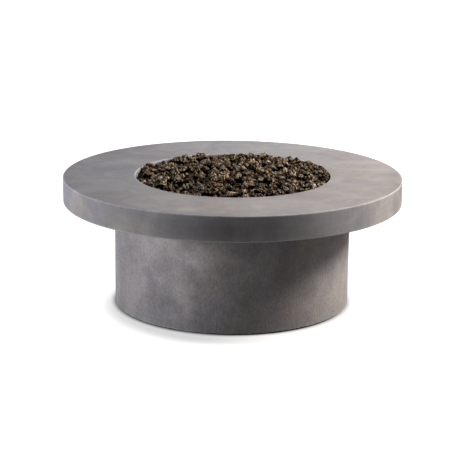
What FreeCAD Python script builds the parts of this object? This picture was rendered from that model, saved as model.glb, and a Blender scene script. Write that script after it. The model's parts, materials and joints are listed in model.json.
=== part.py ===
import FreeCAD, Part

# Round gas fire pit table in glass-fibre concrete. A shell top with a deep edge sits on a
# hollow drum. A steel burner pan hangs in the top's round opening under a bed of lava rock,
# and the gas parts are inside the drum. Millimetres, +Z up, origin on the floor under the
# middle of the drum. The seated user faces -Y, and the service side is +Y.

import math
import os
import random

Vector = FreeCAD.Vector

# Overall
TOP_DIAMETER = 1220.0
TABLE_HEIGHT = 468.0
TOP_EDGE_DEPTH = 89.0
OPENING_DIAMETER = 702.0
DRUM_DIAMETER = 851.0
EDGE_ROUND = 3.5

# Concrete top
DECK_THICKNESS = 22.0
SKIRT_WALL = 25.0
COLLAR_WALL = 24.0
LEDGE_DROP = 58.0  # from the table's face down to the ledge that carries the pan
LEDGE_WIDTH = 26.0
LEDGE_THICKNESS = 17.0
CAST_ROUND = 10.0  # the hollow corners of the casting
HIDDEN_ROUND = 2.0
OVER = 1.0  # how far a cutting solid runs past the face that it cuts

# Concrete drum
DRUM_WALL = 22.0
DRUM_FOOT_RIM = 14.0  # how far the thicker foot of the wall stands inwards
DRUM_FOOT_RIM_HEIGHT = 36.0

# What the drum stands on and what the top lies on
FOOT_COUNT = 6
FOOT_RADIUS = 15.0
FOOT_THICKNESS = 4.0
FOOT_STUD_RADIUS = 4.0
FOOT_STUD_LENGTH = 18.0
FOOT_ROUND = 1.0
HOLE_END_ROOM = 1.0  # a blind hole goes this much deeper than what is in it
SEAT_PAD_COUNT = 8
SEAT_PAD_THICKNESS = 3.0
SEAT_PAD_LENGTH = 60.0
SEAT_PAD_WIDTH = 18.0

# Brackets that tie the top to the drum
BRACKET_COUNT = 4
BRACKET_FIRST_ANGLE = 0.0
BRACKET_WIDTH = 30.0
BRACKET_SHEET = 3.0
BRACKET_LEG = 60.0
BRACKET_ARM = 24.0
BRACKET_BOLT_RADIUS = 3.0
BRACKET_BOLT_LENGTH = 18.0
BRACKET_BOLT_DOWN = 42.0  # from the deck's underside to the bolt in the drum wall
BOLT_HEAD_FLATS = 10.0
BOLT_HEAD_HEIGHT = 4.0
INSERT_RADIUS = 4.6
INSERT_LENGTH = 14.0
INSERT_END = 1.0  # the closed end of the sleeves in the wall

# Doorway and door, in the middle of the service side
DOOR_ANGLE = 90.0
DOORWAY_HALF_ANGLE = 20.0
DOORWAY_BOTTOM = 62.0
DOORWAY_HEIGHT = 270.0
DOOR_GAP = 3.0
HINGE_PIN_RADIUS = 4.0
HINGE_PIN_IN_DOOR = 24.0
HINGE_PIN_IN_WALL = 18.0
HINGE_BUSH_WALL = 2.5
THRUST_WASHER_INSET = 1.0
PULL_RADIUS = 11.0
PULL_LENGTH = 18.0
PULL_FROM_EDGE = 28.0
PULL_STUD_RADIUS = 2.5
PULL_NUT_FLATS = 8.0
PULL_NUT_HEIGHT = 4.0
PULL_STUD_PROUD = 2.0  # how far the stud comes out of its nut
PULL_ROUND = 2.0
CATCH_LENGTH = 32.0
CATCH_DEPTH = 9.0
CATCH_HEIGHT = 40.0
STRIKE_SHEET = 1.5

# Vents, low on both sides
VENT_ANGLES = (18.0, 162.0)
VENT_HEIGHT_UP = 92.0  # the vent's middle above the floor
VENT_SEAT_DEPTH = 8.5  # from the drum's face in to the flat seat of the plate
VENT_PLATE = (130.0, 56.0, 1.5)
VENT_CUT = (108.0, 34.0)
VENT_SLOT = (5.0, 28.0)
VENT_SLOT_COUNT = 11
VENT_SLOT_PITCH = 9.5
PLATE_CORNER = 4.0
SEAT_CLEARANCE = 1.0
PLATE_SCREW_RADIUS = 2.0
PLATE_SCREW_LENGTH = 9.0
PLATE_SCREW_HEAD = 3.6
PLATE_SCREW_HEAD_HEIGHT = 2.0
PLATE_SCREW_HEAD_ROUND = 1.2
PLATE_SCREW_EDGE = 6.5  # from the plate's edge in to the screw

# Control panel, beside the door
PANEL_ANGLE = 130.0
PANEL_HEIGHT_UP = 250.0
PANEL_SEAT_DEPTH = 10.5
PANEL_PLATE = (150.0, 84.0, 2.0)
PANEL_CUT = (124.0, 58.0)
KNOB_X = -34.0
IGNITER_X = 36.0

# Gas control valve, its stem and its knob
VALVE_WIDTH = 52.0
VALVE_DEPTH = 42.0
VALVE_HEIGHT = 48.0
VALVE_ROUND = 4.0
VALVE_NECK_RADIUS = 12.0
VALVE_NECK_LENGTH = 10.0
NOSE_RADIUS = 9.0
NOSE_NUT_FLATS = 22.0
NOSE_NUT_HEIGHT = 3.5
PORT_RADIUS = 9.0
PORT_LENGTH = 10.0
SMALL_PORT_RADIUS = 4.5
SMALL_PORT_LENGTH = 8.0
PILOT_PORT_X = -14.0  # from the knob's axis
SENSOR_PORT_X = 14.0
STEM_RADIUS = 4.0
STEM_FLAT = 1.0  # how deep the stem's flat is
STEM_IN_VALVE = 12.0
STEM_OUT = 16.0  # from the nose's face to the stem's end
KNOB_RADIUS = 20.0
KNOB_HEIGHT = 18.0
KNOB_STANDOFF = 4.0
KNOB_RECESS_RADIUS = 15.0
KNOB_RECESS_DEPTH = 6.0
KNOB_ROUND = 2.0
KNOB_FLUTES = 12
KNOB_FLUTE_RADIUS = 2.6
KNOB_SKIRT = 3.0  # the plain rim behind the flutes
POINTER_WIDTH = 1.6
POINTER_DEPTH = 0.8
POINTER_START = 4.0  # from the knob's axis
KNOB_TRAVEL = 3.0
WASHER_RADIUS = 8.0
WASHER_THICKNESS = 1.2
RUNNING_GAP = 0.06
LOOSE_GAP = 0.3

# Push-button igniter
IGNITER_RADIUS = 11.0
IGNITER_LENGTH = 60.0
IGNITER_BEZEL_RADIUS = 14.5
IGNITER_BEZEL_HEIGHT = 3.0
IGNITER_BEZEL_ROUND = 1.0
IGNITER_NUT_FLATS = 27.0
IGNITER_NUT_HEIGHT = 5.0
BUTTON_RADIUS = 8.3
BUTTON_LENGTH = 11.0
BUTTON_OUT = 5.0
BUTTON_TRAVEL = 4.0
BUTTON_ROUND = 1.2

# Shut-off ball valve under the control valve, and its lever
SHUTOFF_LENGTH = 54.0
SHUTOFF_FLATS = 23.0
SHUTOFF_BALL_RADIUS = 15.0
SHUTOFF_BOSS_RADIUS = 6.5
SHUTOFF_BOSS_LENGTH = 6.0
SHUTOFF_STEM_RADIUS = 3.5
SHUTOFF_STEM_OUT = 5.5
SHUTOFF_STEM_IN = 8.0
LEVER_LENGTH = 78.0
LEVER_WIDTH = 14.0
LEVER_SHEET = 2.5
LEVER_GRIP_LENGTH = 50.0
LEVER_GRIP_WALL = 1.5
LEVER_NUT_FLATS = 10.0
LEVER_NUT_HEIGHT = 2.5

# Gas inlet through the drum wall
INLET_ANGLE = 58.0
INLET_HEIGHT_UP = 50.0
INLET_SPOT_FACE = 2.5
SPOT_FACE_MARGIN = 4.0  # round a hexagon, over half its flats
INLET_SHANK_RADIUS = 10.5
INLET_FLATS = 32.0
INLET_HEX_LENGTH = 8.0
INLET_BOSS_RADIUS = 14.0
INLET_BOSS_LENGTH = 12.0
INLET_BORE_RADIUS = 9.3
INLET_BORE_LENGTH = 16.0
GAS_WAY_RADIUS = 5.0
INLET_SHANK_INSIDE = 22.0  # from the drum's inner face to the shank's end
LOCKNUT_FLATS = 30.0
LOCKNUT_HEIGHT = 7.0

ELBOW_RADIUS = 10.0
ELBOW_REACH = 13.0  # from the shank's end to the middle of the bend
ELBOW_ARM = 20.0

# Lines inside the drum
SUPPLY_HOSE_RADIUS = 7.0
SUPPLY_HOSE_LOW = 31.0  # the height it runs at along the wall
SUPPLY_STEP = 12.0  # degrees of the wall between two points of its route
SUPPLY_DROP = 66.0  # the straight last run under the shut-off valve
BURNER_HOSE_RADIUS = 6.0
BURNER_HOSE_LEAD_OUT = 50.0  # the straight first run out of the control valve
BURNER_HOSE_SAG = 98.0  # from the valve down to the hose's lowest stretch
BURNER_HOSE_DOWN = ((0.68, 0.57), (0.48, 0.14), (0.27, 0.02))  # share of the way out, of the height
BURNER_HOSE_UP = ((0.11, 0.085), (0.012, 0.37), (0.0, 0.72))
HOSE_NUT_FLATS = 21.0
HOSE_NUT_LENGTH = 14.0
PILOT_TUBE_RADIUS = 2.4
SENSOR_LEAD_RADIUS = 1.6
SPARK_LEAD_RADIUS = 2.0
PILOT_TUBE_DROP = 34.0  # from the pan down to where each line sweeps in under it
SENSOR_LEAD_DROP = 42.0
SPARK_LEAD_DROP = 38.0
LINE_FALL = 2.0  # how much lower a line is at the outer end of its sweep
SPARK_LEAD_OUT = 27.0  # the straight first run out of the igniter
SPARK_LEAD_BEND = (-6.0, 12.0, 6.0)  # sideways, inwards and up, from there to the next bend
LINE_BEND_SHARE = 0.45  # of the shorter run, taken by a bend on each side of its point
CLIP_BAND = 1.5
CLIP_WIDTH = 12.0
CLIP_EAR = 15.0  # how far the clip's ear reaches below its band
CLIP_SCREW_RADIUS = 2.0
CLIP_SCREW_LENGTH = 12.0

# Burner pan
PAN_FLANGE_GAP = 3.0  # between the flange's edge and the concrete
PAN_WALL_GAP = 5.0  # between the pan's wall and the ledge
PAN_SHEET = 1.5
PAN_DEPTH = 38.0
PAN_ROUND = 5.0
PAN_LIP_ROUND = 0.5
GASKET_THICKNESS = 2.0
GASKET_INSET = 2.0
DRAIN_COUNT = 8
DRAIN_RADIUS = 3.0
DRAIN_CIRCLE = 290.0
DRAIN_FIRST_ANGLE = 12.0
LINE_HOLE_GAP = 1.0

# Double ring burner
OUTER_RING_RADIUS = 235.0
INNER_RING_RADIUS = 120.0
BURNER_TUBE_RADIUS = 9.5
BURNER_TUBE_WALL = 1.2
SPOKE_COUNT = 4
SPOKE_FIRST_ANGLE = 15.0
SPOKE_RADIUS = 7.5
OUTER_PORT_COUNT = 40
INNER_PORT_COUNT = 20
GAS_PORT_RADIUS = 1.4
BURNER_LIFT = 11.0  # from the pan's floor to the underside of the rings
HUB_RADIUS = 24.0
HUB_ABOVE_TUBE = 2.0
HUB_ROUND = 3.0
SUPPORT_COUNT = 4
SUPPORT_SIZE = 22.0
SADDLE_LIP = 1.0  # from the ring's middle height down to the saddle's edge
NIPPLE_RADIUS = 8.0
PAN_NUT_FLATS = 26.0
PAN_NUT_HEIGHT = 6.0
MIXER_RADIUS = 13.0
MIXER_LENGTH = 60.0
MIXER_WINDOW = (8.0, 20.0)
MIXER_WALL = 3.0
MIXER_CAP = 12.0
NIPPLE_END_GAP = 2.0  # from the nipple's lower end to the mixer's hollow

# Pilot, half-way between the two rings
PILOT_SHIELD_RADIUS = 28.0
PILOT_SHIELD_WALL = 1.2
PILOT_SHIELD_HEIGHT = 43.0
PILOT_SHIELD_ROUND = 4.0
PILOT_SLOT_COUNT = 8
PILOT_SLOT = (6.0, 22.0)
PILOT_PLATE_LIFT = 9.0
PILOT_PLATE = (40.0, 20.0, 1.5)
PILOT_HEAD_RADIUS = 4.5
PILOT_HEAD_HEIGHT = 22.0
PILOT_MOUTH = (5.0, 6.0)
PILOT_MOUTH_DOWN = 3.0  # from the head's top
PILOT_SPACING = 14.0
PROBE_RADIUS = 2.6
PROBE_HEIGHT = 24.0
PROBE_ROUND = 2.0
ELECTRODE_RADIUS = 3.4
ELECTRODE_HEIGHT = 16.0
SPARK_ROD_RADIUS = 0.9
SPARK_ROD_HEIGHT = 8.0

# Lava rock
BED_GAP = 1.0  # between the bed and the steel and concrete round it
BED_EDGE_RISE = 20.0  # from the pan's flange up to the bed's edge, on average
BED_CROWN = 8.0  # how much higher the bed is in its middle
BED_TILT = 6.0  # how much higher, and lower, the edge is at the side the rocks are heaped to
BED_TILT_ANGLE = 35.0
ROCK_SPACING = 33.0
ROCK_RADIUS = 18.5
ROCK_SPREAD = 0.20  # how much rocks differ in size
ROCK_JITTER = 5.5
ROCK_SINK = 0.80  # a rock's middle above the bed, over its radius
ROCK_GAP = 0.2
ROCK_FACETS = 13
ROCK_LEAST = 0.80  # how near to a rock's middle a facet can be, over its radius
ROCK_REACH = 1.4  # how far a rock's corners can be from its middle, over its radius
ROCK_WALL_GAP = 1.2
ROCK_WALL_TURN = 3.0  # degrees between the flats that follow the round wall
ROCK_AT_WALL = 0.80  # how far a rock beside the wall has its middle from it, over its radius
ROCK_ROW_GAP = 0.80  # from the rocks beside the wall in to the next ones, over the spacing
ROCK_WALL_JITTER = 0.12  # along the wall, over the spacing there
ROCK_TOUCH = 1.05  # a rock leans on a neighbour whose plane is nearer than this, over its radius
ROCK_NEIGHBOUR = 1.9  # rocks further apart than this, over the sum of their radii, can't meet
ROCK_FOOT_SPAN = 0.6  # no facet points this much down, where the bed cuts the rock already
ROCK_TOUCH_SPAN = 0.8  # nor this much towards a neighbour
BED_CLEARANCE = 0.2
CROWN_SHARE = 0.24  # how many of the hollows between rocks hold one more rock
CROWN_RADIUS = 15.0
CROWN_LIFT = 20.0
CROWN_CLEAR_OF_WALL = 20.0  # at the side that the rocks are heaped to
CROWN_CLEAR_FAR_SIDE = 70.0  # at the other side
ROCK_SEED = 11

# Levels and radii that follow from the sizes above
top_radius = TOP_DIAMETER / 2
opening_radius = OPENING_DIAMETER / 2
drum_radius = DRUM_DIAMETER / 2
drum_inner = drum_radius - DRUM_WALL
drum_middle = drum_radius - DRUM_WALL / 2
foot_rim_inner = drum_inner - DRUM_FOOT_RIM
edge_bottom = TABLE_HEIGHT - TOP_EDGE_DEPTH
deck_under = TABLE_HEIGHT - DECK_THICKNESS
drum_bottom = FOOT_THICKNESS
drum_top = deck_under - SEAT_PAD_THICKNESS
collar_outer = opening_radius + COLLAR_WALL
ledge_top = TABLE_HEIGHT - LEDGE_DROP
ledge_bottom = ledge_top - LEDGE_THICKNESS
ledge_inner = opening_radius - LEDGE_WIDTH
doorway_top = DOORWAY_BOTTOM + DOORWAY_HEIGHT
panel_seat = drum_radius - PANEL_SEAT_DEPTH
panel_face = panel_seat + PANEL_PLATE[2]
vent_seat = drum_radius - VENT_SEAT_DEPTH
valve_front = panel_seat - VALVE_NECK_LENGTH
valve_back = valve_front - VALVE_DEPTH
valve_y = valve_back + VALVE_DEPTH / 2
valve_top = PANEL_HEIGHT_UP + VALVE_HEIGHT / 2
valve_bottom = PANEL_HEIGHT_UP - VALVE_HEIGHT / 2
nose_face = panel_face + NOSE_NUT_HEIGHT
knob_back = panel_face + KNOB_STANDOFF
washer_back = nose_face + KNOB_TRAVEL + LOOSE_GAP
shutoff_top = valve_bottom - PORT_LENGTH
shutoff_bottom = shutoff_top - SHUTOFF_LENGTH
shutoff_z = (shutoff_top + shutoff_bottom) / 2
shutoff_boss_end = valve_y - SHUTOFF_BALL_RADIUS - SHUTOFF_BOSS_LENGTH
pan_flange_bottom = ledge_top + GASKET_THICKNESS
pan_flange_top = pan_flange_bottom + PAN_SHEET
pan_outer = ledge_inner - PAN_WALL_GAP
pan_inner = pan_outer - PAN_SHEET
pan_floor = pan_flange_top - PAN_DEPTH
pan_under = pan_floor - PAN_SHEET
flange_radius = opening_radius - PAN_FLANGE_GAP
burner_z = pan_floor + BURNER_LIFT + BURNER_TUBE_RADIUS
hub_top = burner_z + BURNER_TUBE_RADIUS + HUB_ABOVE_TUBE
hub_bottom = pan_floor + PAN_NUT_HEIGHT
nipple_top = burner_z
mixer_top = pan_under - PAN_NUT_HEIGHT
mixer_bottom = mixer_top - MIXER_LENGTH
bed_radius = opening_radius - BED_GAP
bed_edge = pan_flange_top + BED_EDGE_RISE
dome_radius = (bed_radius**2 + BED_CROWN**2) / (2 * BED_CROWN)
dome_shift = BED_TILT * dome_radius / bed_radius
dome_x = dome_shift * math.cos(math.radians(BED_TILT_ANGLE))
dome_y = dome_shift * math.sin(math.radians(BED_TILT_ANGLE))
dome_z = bed_edge - math.sqrt(dome_radius**2 - bed_radius**2 - dome_shift**2)
inlet_seat = drum_radius - INLET_SPOT_FACE
inlet_shank_end = drum_inner - INLET_SHANK_INSIDE
elbow_y = inlet_shank_end - ELBOW_REACH
hose_run_radius = foot_rim_inner - RUNNING_GAP - CLIP_BAND - LOOSE_GAP - SUPPLY_HOSE_RADIUS
pilot_radius = (OUTER_RING_RADIUS + INNER_RING_RADIUS) / 2


def turned(shape, angle):
    """The shape, modelled with outwards along +Y, turned to stand at this angle of the drum."""
    placed = shape.copy()
    placed.rotate(Vector(0, 0, 0), Vector(0, 0, 1), angle - 90)
    return placed


def turned_point(x, y, z, angle):
    """A point given with outwards along +Y, where turned() would put it."""
    a = math.radians(angle - 90)
    return Vector(x * math.cos(a) - y * math.sin(a), x * math.sin(a) + y * math.cos(a), z)


def box(x0, x1, y0, y1, z0, z1):
    return Part.makeBox(x1 - x0, y1 - y0, z1 - z0, Vector(x0, y0, z0))


def cylinder(radius, start, direction, length):
    return Part.makeCylinder(radius, length, Vector(*start), Vector(*direction))


def disc(radius, z0, z1, x=0.0, y=0.0):
    """An upright cylinder between two heights."""
    return cylinder(radius, (x, y, z0), (0, 0, 1), z1 - z0)


def outwards(radius, x, z, y0, y1):
    """A cylinder along +Y between two distances from the drum's axis."""
    return cylinder(radius, (x, y0, z), (0, 1, 0), y1 - y0)


def hexagon(flats, start, direction, length):
    """A hexagonal prism with this width over flats."""
    points = []
    for k in range(7):
        a = math.radians(60 * k)
        r = flats / 2 / math.cos(math.radians(30))
        points.append(Vector(r * math.cos(a), r * math.sin(a), 0))
    prism = Part.Face(Part.makePolygon(points)).extrude(Vector(0, 0, length))
    turn = FreeCAD.Rotation(Vector(0, 0, 1), Vector(*direction))
    prism.Placement = FreeCAD.Placement(Vector(*start), turn)
    return prism


def rounded_wire(corners):
    """A closed wire through (x, z, round) corners in the XZ plane, each rounded by its own radius."""
    pieces = []
    count = len(corners)
    for k in range(count):
        here = Vector(corners[k][0], 0, corners[k][1])
        before = Vector(corners[k - 1][0], 0, corners[k - 1][1]) - here
        after = Vector(corners[(k + 1) % count][0], 0, corners[(k + 1) % count][1]) - here
        before.normalize()
        after.normalize()
        half = before.getAngle(after) / 2
        back = corners[k][2] / math.tan(half)
        middle = before + after
        middle.normalize()
        centre = here + middle * (corners[k][2] / math.sin(half))
        pieces.append((here + before * back, centre - middle * corners[k][2], here + after * back))
    edges = []
    for k in range(count):
        start, through, end = pieces[k]
        if corners[k][2] > 0:
            edges.append(Part.Arc(start, through, end).toShape())
        following = pieces[(k + 1) % count][0]
        if end.distanceToPoint(following) > 1e-6:
            edges.append(Part.LineSegment(end, following).toShape())
    return Part.Wire(edges)


def ring_of(corners):
    """The solid swept by a rounded outline turned once round the Z axis."""
    return Part.Face(rounded_wire(corners)).revolve(Vector(0, 0, 0), Vector(0, 0, 1), 360)


def all_round(shape, count, first=0.0):
    """Copies of a shape modelled along +Y, evenly round the axis, the first at this angle."""
    return [turned(shape, first + 360.0 * k / count) for k in range(count)]


def rounded_plate(size, y0, y1, z, corner):
    """An upright plate with round corners, facing +Y, its middle at x 0."""
    wide, tall = size[0], size[1]
    plate = box(-wide / 2, wide / 2, y0, y1, z - tall / 2, z + tall / 2)
    upright = [e for e in plate.Edges if abs(e.BoundBox.YLength - (y1 - y0)) < 1e-6]
    return plate.makeFillet(corner, upright)


def plate_screw_places(size, z):
    """(x, z) of the four screws of a plate."""
    x = size[0] / 2 - PLATE_SCREW_EDGE
    up = size[1] / 2 - PLATE_SCREW_EDGE
    return [(sx * x, z + sz * up) for sx in (-1, 1) for sz in (-1, 1)]


def screws_of_plate(size, z, face):
    """Four pan-head screws that hold a plate, their heads on its outer face."""
    screws = []
    for x, up in plate_screw_places(size, z):
        shank = outwards(PLATE_SCREW_RADIUS, x, up, face - PLATE_SCREW_LENGTH, face)
        head = outwards(PLATE_SCREW_HEAD, x, up, face, face + PLATE_SCREW_HEAD_HEIGHT)
        head = head.makeFillet(PLATE_SCREW_HEAD_ROUND, [head.Edges[0]])
        screws.append(shank.fuse(head).removeSplitter())
    return screws


def plate_with_holes(size, seat, z, corner):
    """A screwed plate on its seat, with its four screw holes."""
    face = seat + size[2]
    plate = rounded_plate(size, seat, face, z, corner)
    holes = [
        outwards(PLATE_SCREW_RADIUS + LOOSE_GAP, x, up, seat - OVER, face + OVER)
        for x, up in plate_screw_places(size, z)
    ]
    return plate.cut(Part.makeCompound(holes))


def plate_pocket(size, seat, z):
    """What a screwed plate takes out of the drum: its flat seat and its four screw holes."""
    wide, tall = size[0] / 2 + SEAT_CLEARANCE, size[1] / 2 + SEAT_CLEARANCE
    pocket = [box(-wide, wide, seat, drum_radius + OVER, z - tall, z + tall)]
    bottom = seat + size[2] - PLATE_SCREW_LENGTH - HOLE_END_ROOM
    for x, up in plate_screw_places(size, z):
        pocket.append(outwards(PLATE_SCREW_RADIUS + RUNNING_GAP, x, up, bottom, seat + OVER))
    return pocket


def wall_cut(size, z):
    """A square-cornered hole through the drum wall, its middle at x 0."""
    wide, tall = size[0] / 2, size[1] / 2
    inner_y = math.sqrt(drum_inner**2 - wide**2) - OVER
    return box(-wide, wide, inner_y, drum_radius + OVER, z - tall, z + tall)


# Concrete top


def table_top():
    """The cast shell: deck, deep outer skirt, and a collar with the ledge that carries the pan."""
    skirt_inner = top_radius - SKIRT_WALL
    top = ring_of(
        [
            (opening_radius, TABLE_HEIGHT, EDGE_ROUND),
            (top_radius, TABLE_HEIGHT, EDGE_ROUND),
            (top_radius, edge_bottom, EDGE_ROUND),
            (skirt_inner, edge_bottom, HIDDEN_ROUND),
            (skirt_inner, deck_under, CAST_ROUND),
            (collar_outer, deck_under, HIDDEN_ROUND),
            (collar_outer, ledge_bottom, HIDDEN_ROUND),
            (ledge_inner, ledge_bottom, HIDDEN_ROUND),
            (ledge_inner, ledge_top, HIDDEN_ROUND),
            (opening_radius, ledge_top, 0),
        ]
    )
    socket = disc(INSERT_RADIUS, deck_under - OVER, deck_under + INSERT_LENGTH, y=bracket_bolt_y())
    bottom = disc(
        BRACKET_BOLT_RADIUS,
        deck_under,
        deck_under + BRACKET_BOLT_LENGTH - BRACKET_SHEET + HOLE_END_ROOM,
        y=bracket_bolt_y(),
    )
    return top.cut(Part.makeCompound(all_round(socket.fuse(bottom), BRACKET_COUNT, BRACKET_FIRST_ANGLE)))


# Concrete drum


def drum_foot_y():
    """How far from the axis the feet are: the middle of the drum's thick foot."""
    return (foot_rim_inner + drum_radius) / 2


def door_edge_angle(gap, radius=None):
    """The angle that a length along the wall spans."""
    return math.degrees(gap / (radius or drum_middle))


def sector(inner, outer, z0, z1, start, end):
    """A piece of upright ring between two angles from +X."""
    ring = Part.makeCylinder(outer, z1 - z0, Vector(0, 0, z0), Vector(0, 0, 1), end - start)
    ring = ring.cut(disc(inner, z0 - OVER, z1 + OVER))
    ring.rotate(Vector(0, 0, 0), Vector(0, 0, 1), start)
    return ring


def hinge_point():
    """Where the door's pin axis is, in plan: one gap and half a wall from the doorway's edge."""
    angle = DOOR_ANGLE + DOORWAY_HALF_ANGLE - door_edge_angle(DOOR_GAP + DRUM_WALL / 2)
    a = math.radians(angle)
    return Vector(drum_middle * math.cos(a), drum_middle * math.sin(a), 0)


def base_drum():
    """The cast drum: a plain wall with a thicker foot, the doorway and the seats of what it carries."""
    rim_top = drum_bottom + DRUM_FOOT_RIM_HEIGHT
    drum = ring_of(
        [
            (drum_radius, drum_bottom, EDGE_ROUND),
            (drum_radius, drum_top, HIDDEN_ROUND),
            (drum_inner, drum_top, HIDDEN_ROUND),
            (drum_inner, rim_top + DRUM_FOOT_RIM, CAST_ROUND),
            (foot_rim_inner, rim_top, CAST_ROUND),
            (foot_rim_inner, drum_bottom, HIDDEN_ROUND),
        ]
    )
    cuts = [
        sector(
            foot_rim_inner,
            drum_radius + OVER,
            DOORWAY_BOTTOM,
            doorway_top,
            DOOR_ANGLE - DOORWAY_HALF_ANGLE,
            DOOR_ANGLE + DOORWAY_HALF_ANGLE,
        )
    ]
    bush_radius = HINGE_PIN_RADIUS + HINGE_BUSH_WALL
    pin = hinge_point()
    cuts.append(disc(bush_radius, doorway_top - OVER, doorway_top + HINGE_PIN_IN_WALL, pin.x, pin.y))
    cuts.append(
        disc(bush_radius, DOORWAY_BOTTOM - HINGE_PIN_IN_WALL, DOORWAY_BOTTOM + OVER, pin.x, pin.y)
    )
    stud = disc(
        FOOT_STUD_RADIUS + RUNNING_GAP,
        drum_bottom - OVER,
        drum_bottom + FOOT_STUD_LENGTH + HOLE_END_ROOM,
        y=drum_foot_y(),
    )
    cuts += all_round(stud, FOOT_COUNT, 90 + 180.0 / FOOT_COUNT)
    bolt_z = deck_under - BRACKET_BOLT_DOWN
    socket = outwards(INSERT_RADIUS, 0, bolt_z, bracket_face(), drum_inner + INSERT_LENGTH)
    cuts += all_round(socket, BRACKET_COUNT, BRACKET_FIRST_ANGLE)
    panel = plate_pocket(PANEL_PLATE, panel_seat, PANEL_HEIGHT_UP)
    panel.append(wall_cut(PANEL_CUT, PANEL_HEIGHT_UP))
    cuts += [turned(s, PANEL_ANGLE) for s in panel]
    vent = plate_pocket(VENT_PLATE, vent_seat, VENT_HEIGHT_UP)
    vent.append(wall_cut(VENT_CUT, VENT_HEIGHT_UP))
    cuts += [turned(s, angle) for angle in VENT_ANGLES for s in vent]
    inlet = outwards(
        INLET_SHANK_RADIUS + LOOSE_GAP, 0, INLET_HEIGHT_UP, nut_spot_start(), drum_radius + OVER
    )
    spot_radius = INLET_FLATS / 2 + SPOT_FACE_MARGIN
    spot = outwards(spot_radius, 0, INLET_HEIGHT_UP, inlet_seat, drum_radius + OVER)
    nut_spot = outwards(nut_spot_radius(), 0, INLET_HEIGHT_UP, nut_spot_start(), inlet_nut_seat())
    cuts += [turned(s, INLET_ANGLE) for s in (inlet, spot, nut_spot)]
    for angle in hose_clip_angles():
        cuts.append(turned(clip_screw_shank(RUNNING_GAP), angle))
    return drum.cut(Part.makeCompound(cuts))


def nut_spot_radius():
    return LOCKNUT_FLATS / 2 + SPOT_FACE_MARGIN


def nut_spot_start():
    """A place inwards of the drum's foot, where the spot face of the locknut can be cut from."""
    return math.sqrt(foot_rim_inner**2 - nut_spot_radius() ** 2) - OVER


def inlet_nut_seat():
    """The flat spot inside the wall that the inlet's locknut bears on."""
    return math.sqrt(drum_inner**2 - nut_spot_radius() ** 2)


def foot_pads():
    """Rubber feet pressed into the drum's bottom by their studs."""
    foot = disc(FOOT_RADIUS, 0, FOOT_THICKNESS, y=drum_foot_y())
    foot = foot.makeFillet(FOOT_ROUND, [foot.Edges[2]])
    stud = disc(FOOT_STUD_RADIUS, FOOT_THICKNESS, FOOT_THICKNESS + FOOT_STUD_LENGTH, y=drum_foot_y())
    return all_round(foot.fuse(stud).removeSplitter(), FOOT_COUNT, 90 + 180.0 / FOOT_COUNT)


def seat_pads():
    """Soft pads between the drum's rim and the deck."""
    pad = box(
        -SEAT_PAD_LENGTH / 2,
        SEAT_PAD_LENGTH / 2,
        drum_middle - SEAT_PAD_WIDTH / 2,
        drum_middle + SEAT_PAD_WIDTH / 2,
        drum_top,
        deck_under,
    )
    return all_round(pad, SEAT_PAD_COUNT, BRACKET_FIRST_ANGLE + 180.0 / SEAT_PAD_COUNT)


# Brackets between top and drum


def bracket_face():
    """The upright leg's outer face: its edges just touch the round wall."""
    return math.sqrt((drum_inner - RUNNING_GAP) ** 2 - (BRACKET_WIDTH / 2) ** 2)


def bracket_bolt_y():
    return bracket_face() - BRACKET_ARM / 2 - BRACKET_SHEET / 2


def top_brackets():
    """Steel angles: one leg on the drum's inner face, one arm under the deck."""
    face = bracket_face()
    half = BRACKET_WIDTH / 2
    leg = box(-half, half, face - BRACKET_SHEET, face, deck_under - BRACKET_LEG, deck_under)
    arm = box(-half, half, face - BRACKET_ARM, face, deck_under - BRACKET_SHEET, deck_under)
    angle = leg.fuse(arm).removeSplitter()
    hole_radius = BRACKET_BOLT_RADIUS + LOOSE_GAP
    holes = [
        disc(hole_radius, deck_under - BRACKET_SHEET - OVER, deck_under + OVER, y=bracket_bolt_y()),
        outwards(
            hole_radius, 0, deck_under - BRACKET_BOLT_DOWN, face - BRACKET_SHEET - OVER, face + OVER
        ),
    ]
    return all_round(angle.cut(Part.makeCompound(holes)), BRACKET_COUNT, BRACKET_FIRST_ANGLE)


def bracket_bolts():
    """Eight hexagon bolts, four up into the deck and four out into the drum wall."""
    length = BRACKET_BOLT_LENGTH - BRACKET_SHEET
    under = deck_under - BRACKET_SHEET
    y = bracket_bolt_y()
    up = disc(BRACKET_BOLT_RADIUS, under, deck_under + length, y=y)
    up_head = hexagon(BOLT_HEAD_FLATS, (0, y, under - BOLT_HEAD_HEIGHT), (0, 0, 1), BOLT_HEAD_HEIGHT)
    z = deck_under - BRACKET_BOLT_DOWN
    back = bracket_face() - BRACKET_SHEET
    end = drum_inner + INSERT_LENGTH - INSERT_END - HOLE_END_ROOM
    out = outwards(BRACKET_BOLT_RADIUS, 0, z, back, end)
    out_head = hexagon(BOLT_HEAD_FLATS, (0, back - BOLT_HEAD_HEIGHT, z), (0, 1, 0), BOLT_HEAD_HEIGHT)
    pair = (up.fuse(up_head).removeSplitter(), out.fuse(out_head).removeSplitter())
    return [s for bolt in pair for s in all_round(bolt, BRACKET_COUNT, BRACKET_FIRST_ANGLE)]


def concrete_inserts():
    """Threaded brass sleeves cast into the deck and the wall, one for each bracket bolt."""
    bore = BRACKET_BOLT_RADIUS + RUNNING_GAP
    y = bracket_bolt_y()
    up = disc(INSERT_RADIUS, deck_under, deck_under + INSERT_LENGTH, y=y)
    up = up.cut(disc(bore, deck_under - OVER, deck_under + INSERT_LENGTH + OVER, y=y))
    z = deck_under - BRACKET_BOLT_DOWN
    start, end = drum_inner, drum_inner + INSERT_LENGTH
    out = outwards(INSERT_RADIUS, 0, z, start, end)
    out = out.cut(outwards(bore, 0, z, start - OVER, end - INSERT_END))
    return [s for ins in (up, out) for s in all_round(ins, BRACKET_COUNT, BRACKET_FIRST_ANGLE)]


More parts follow.
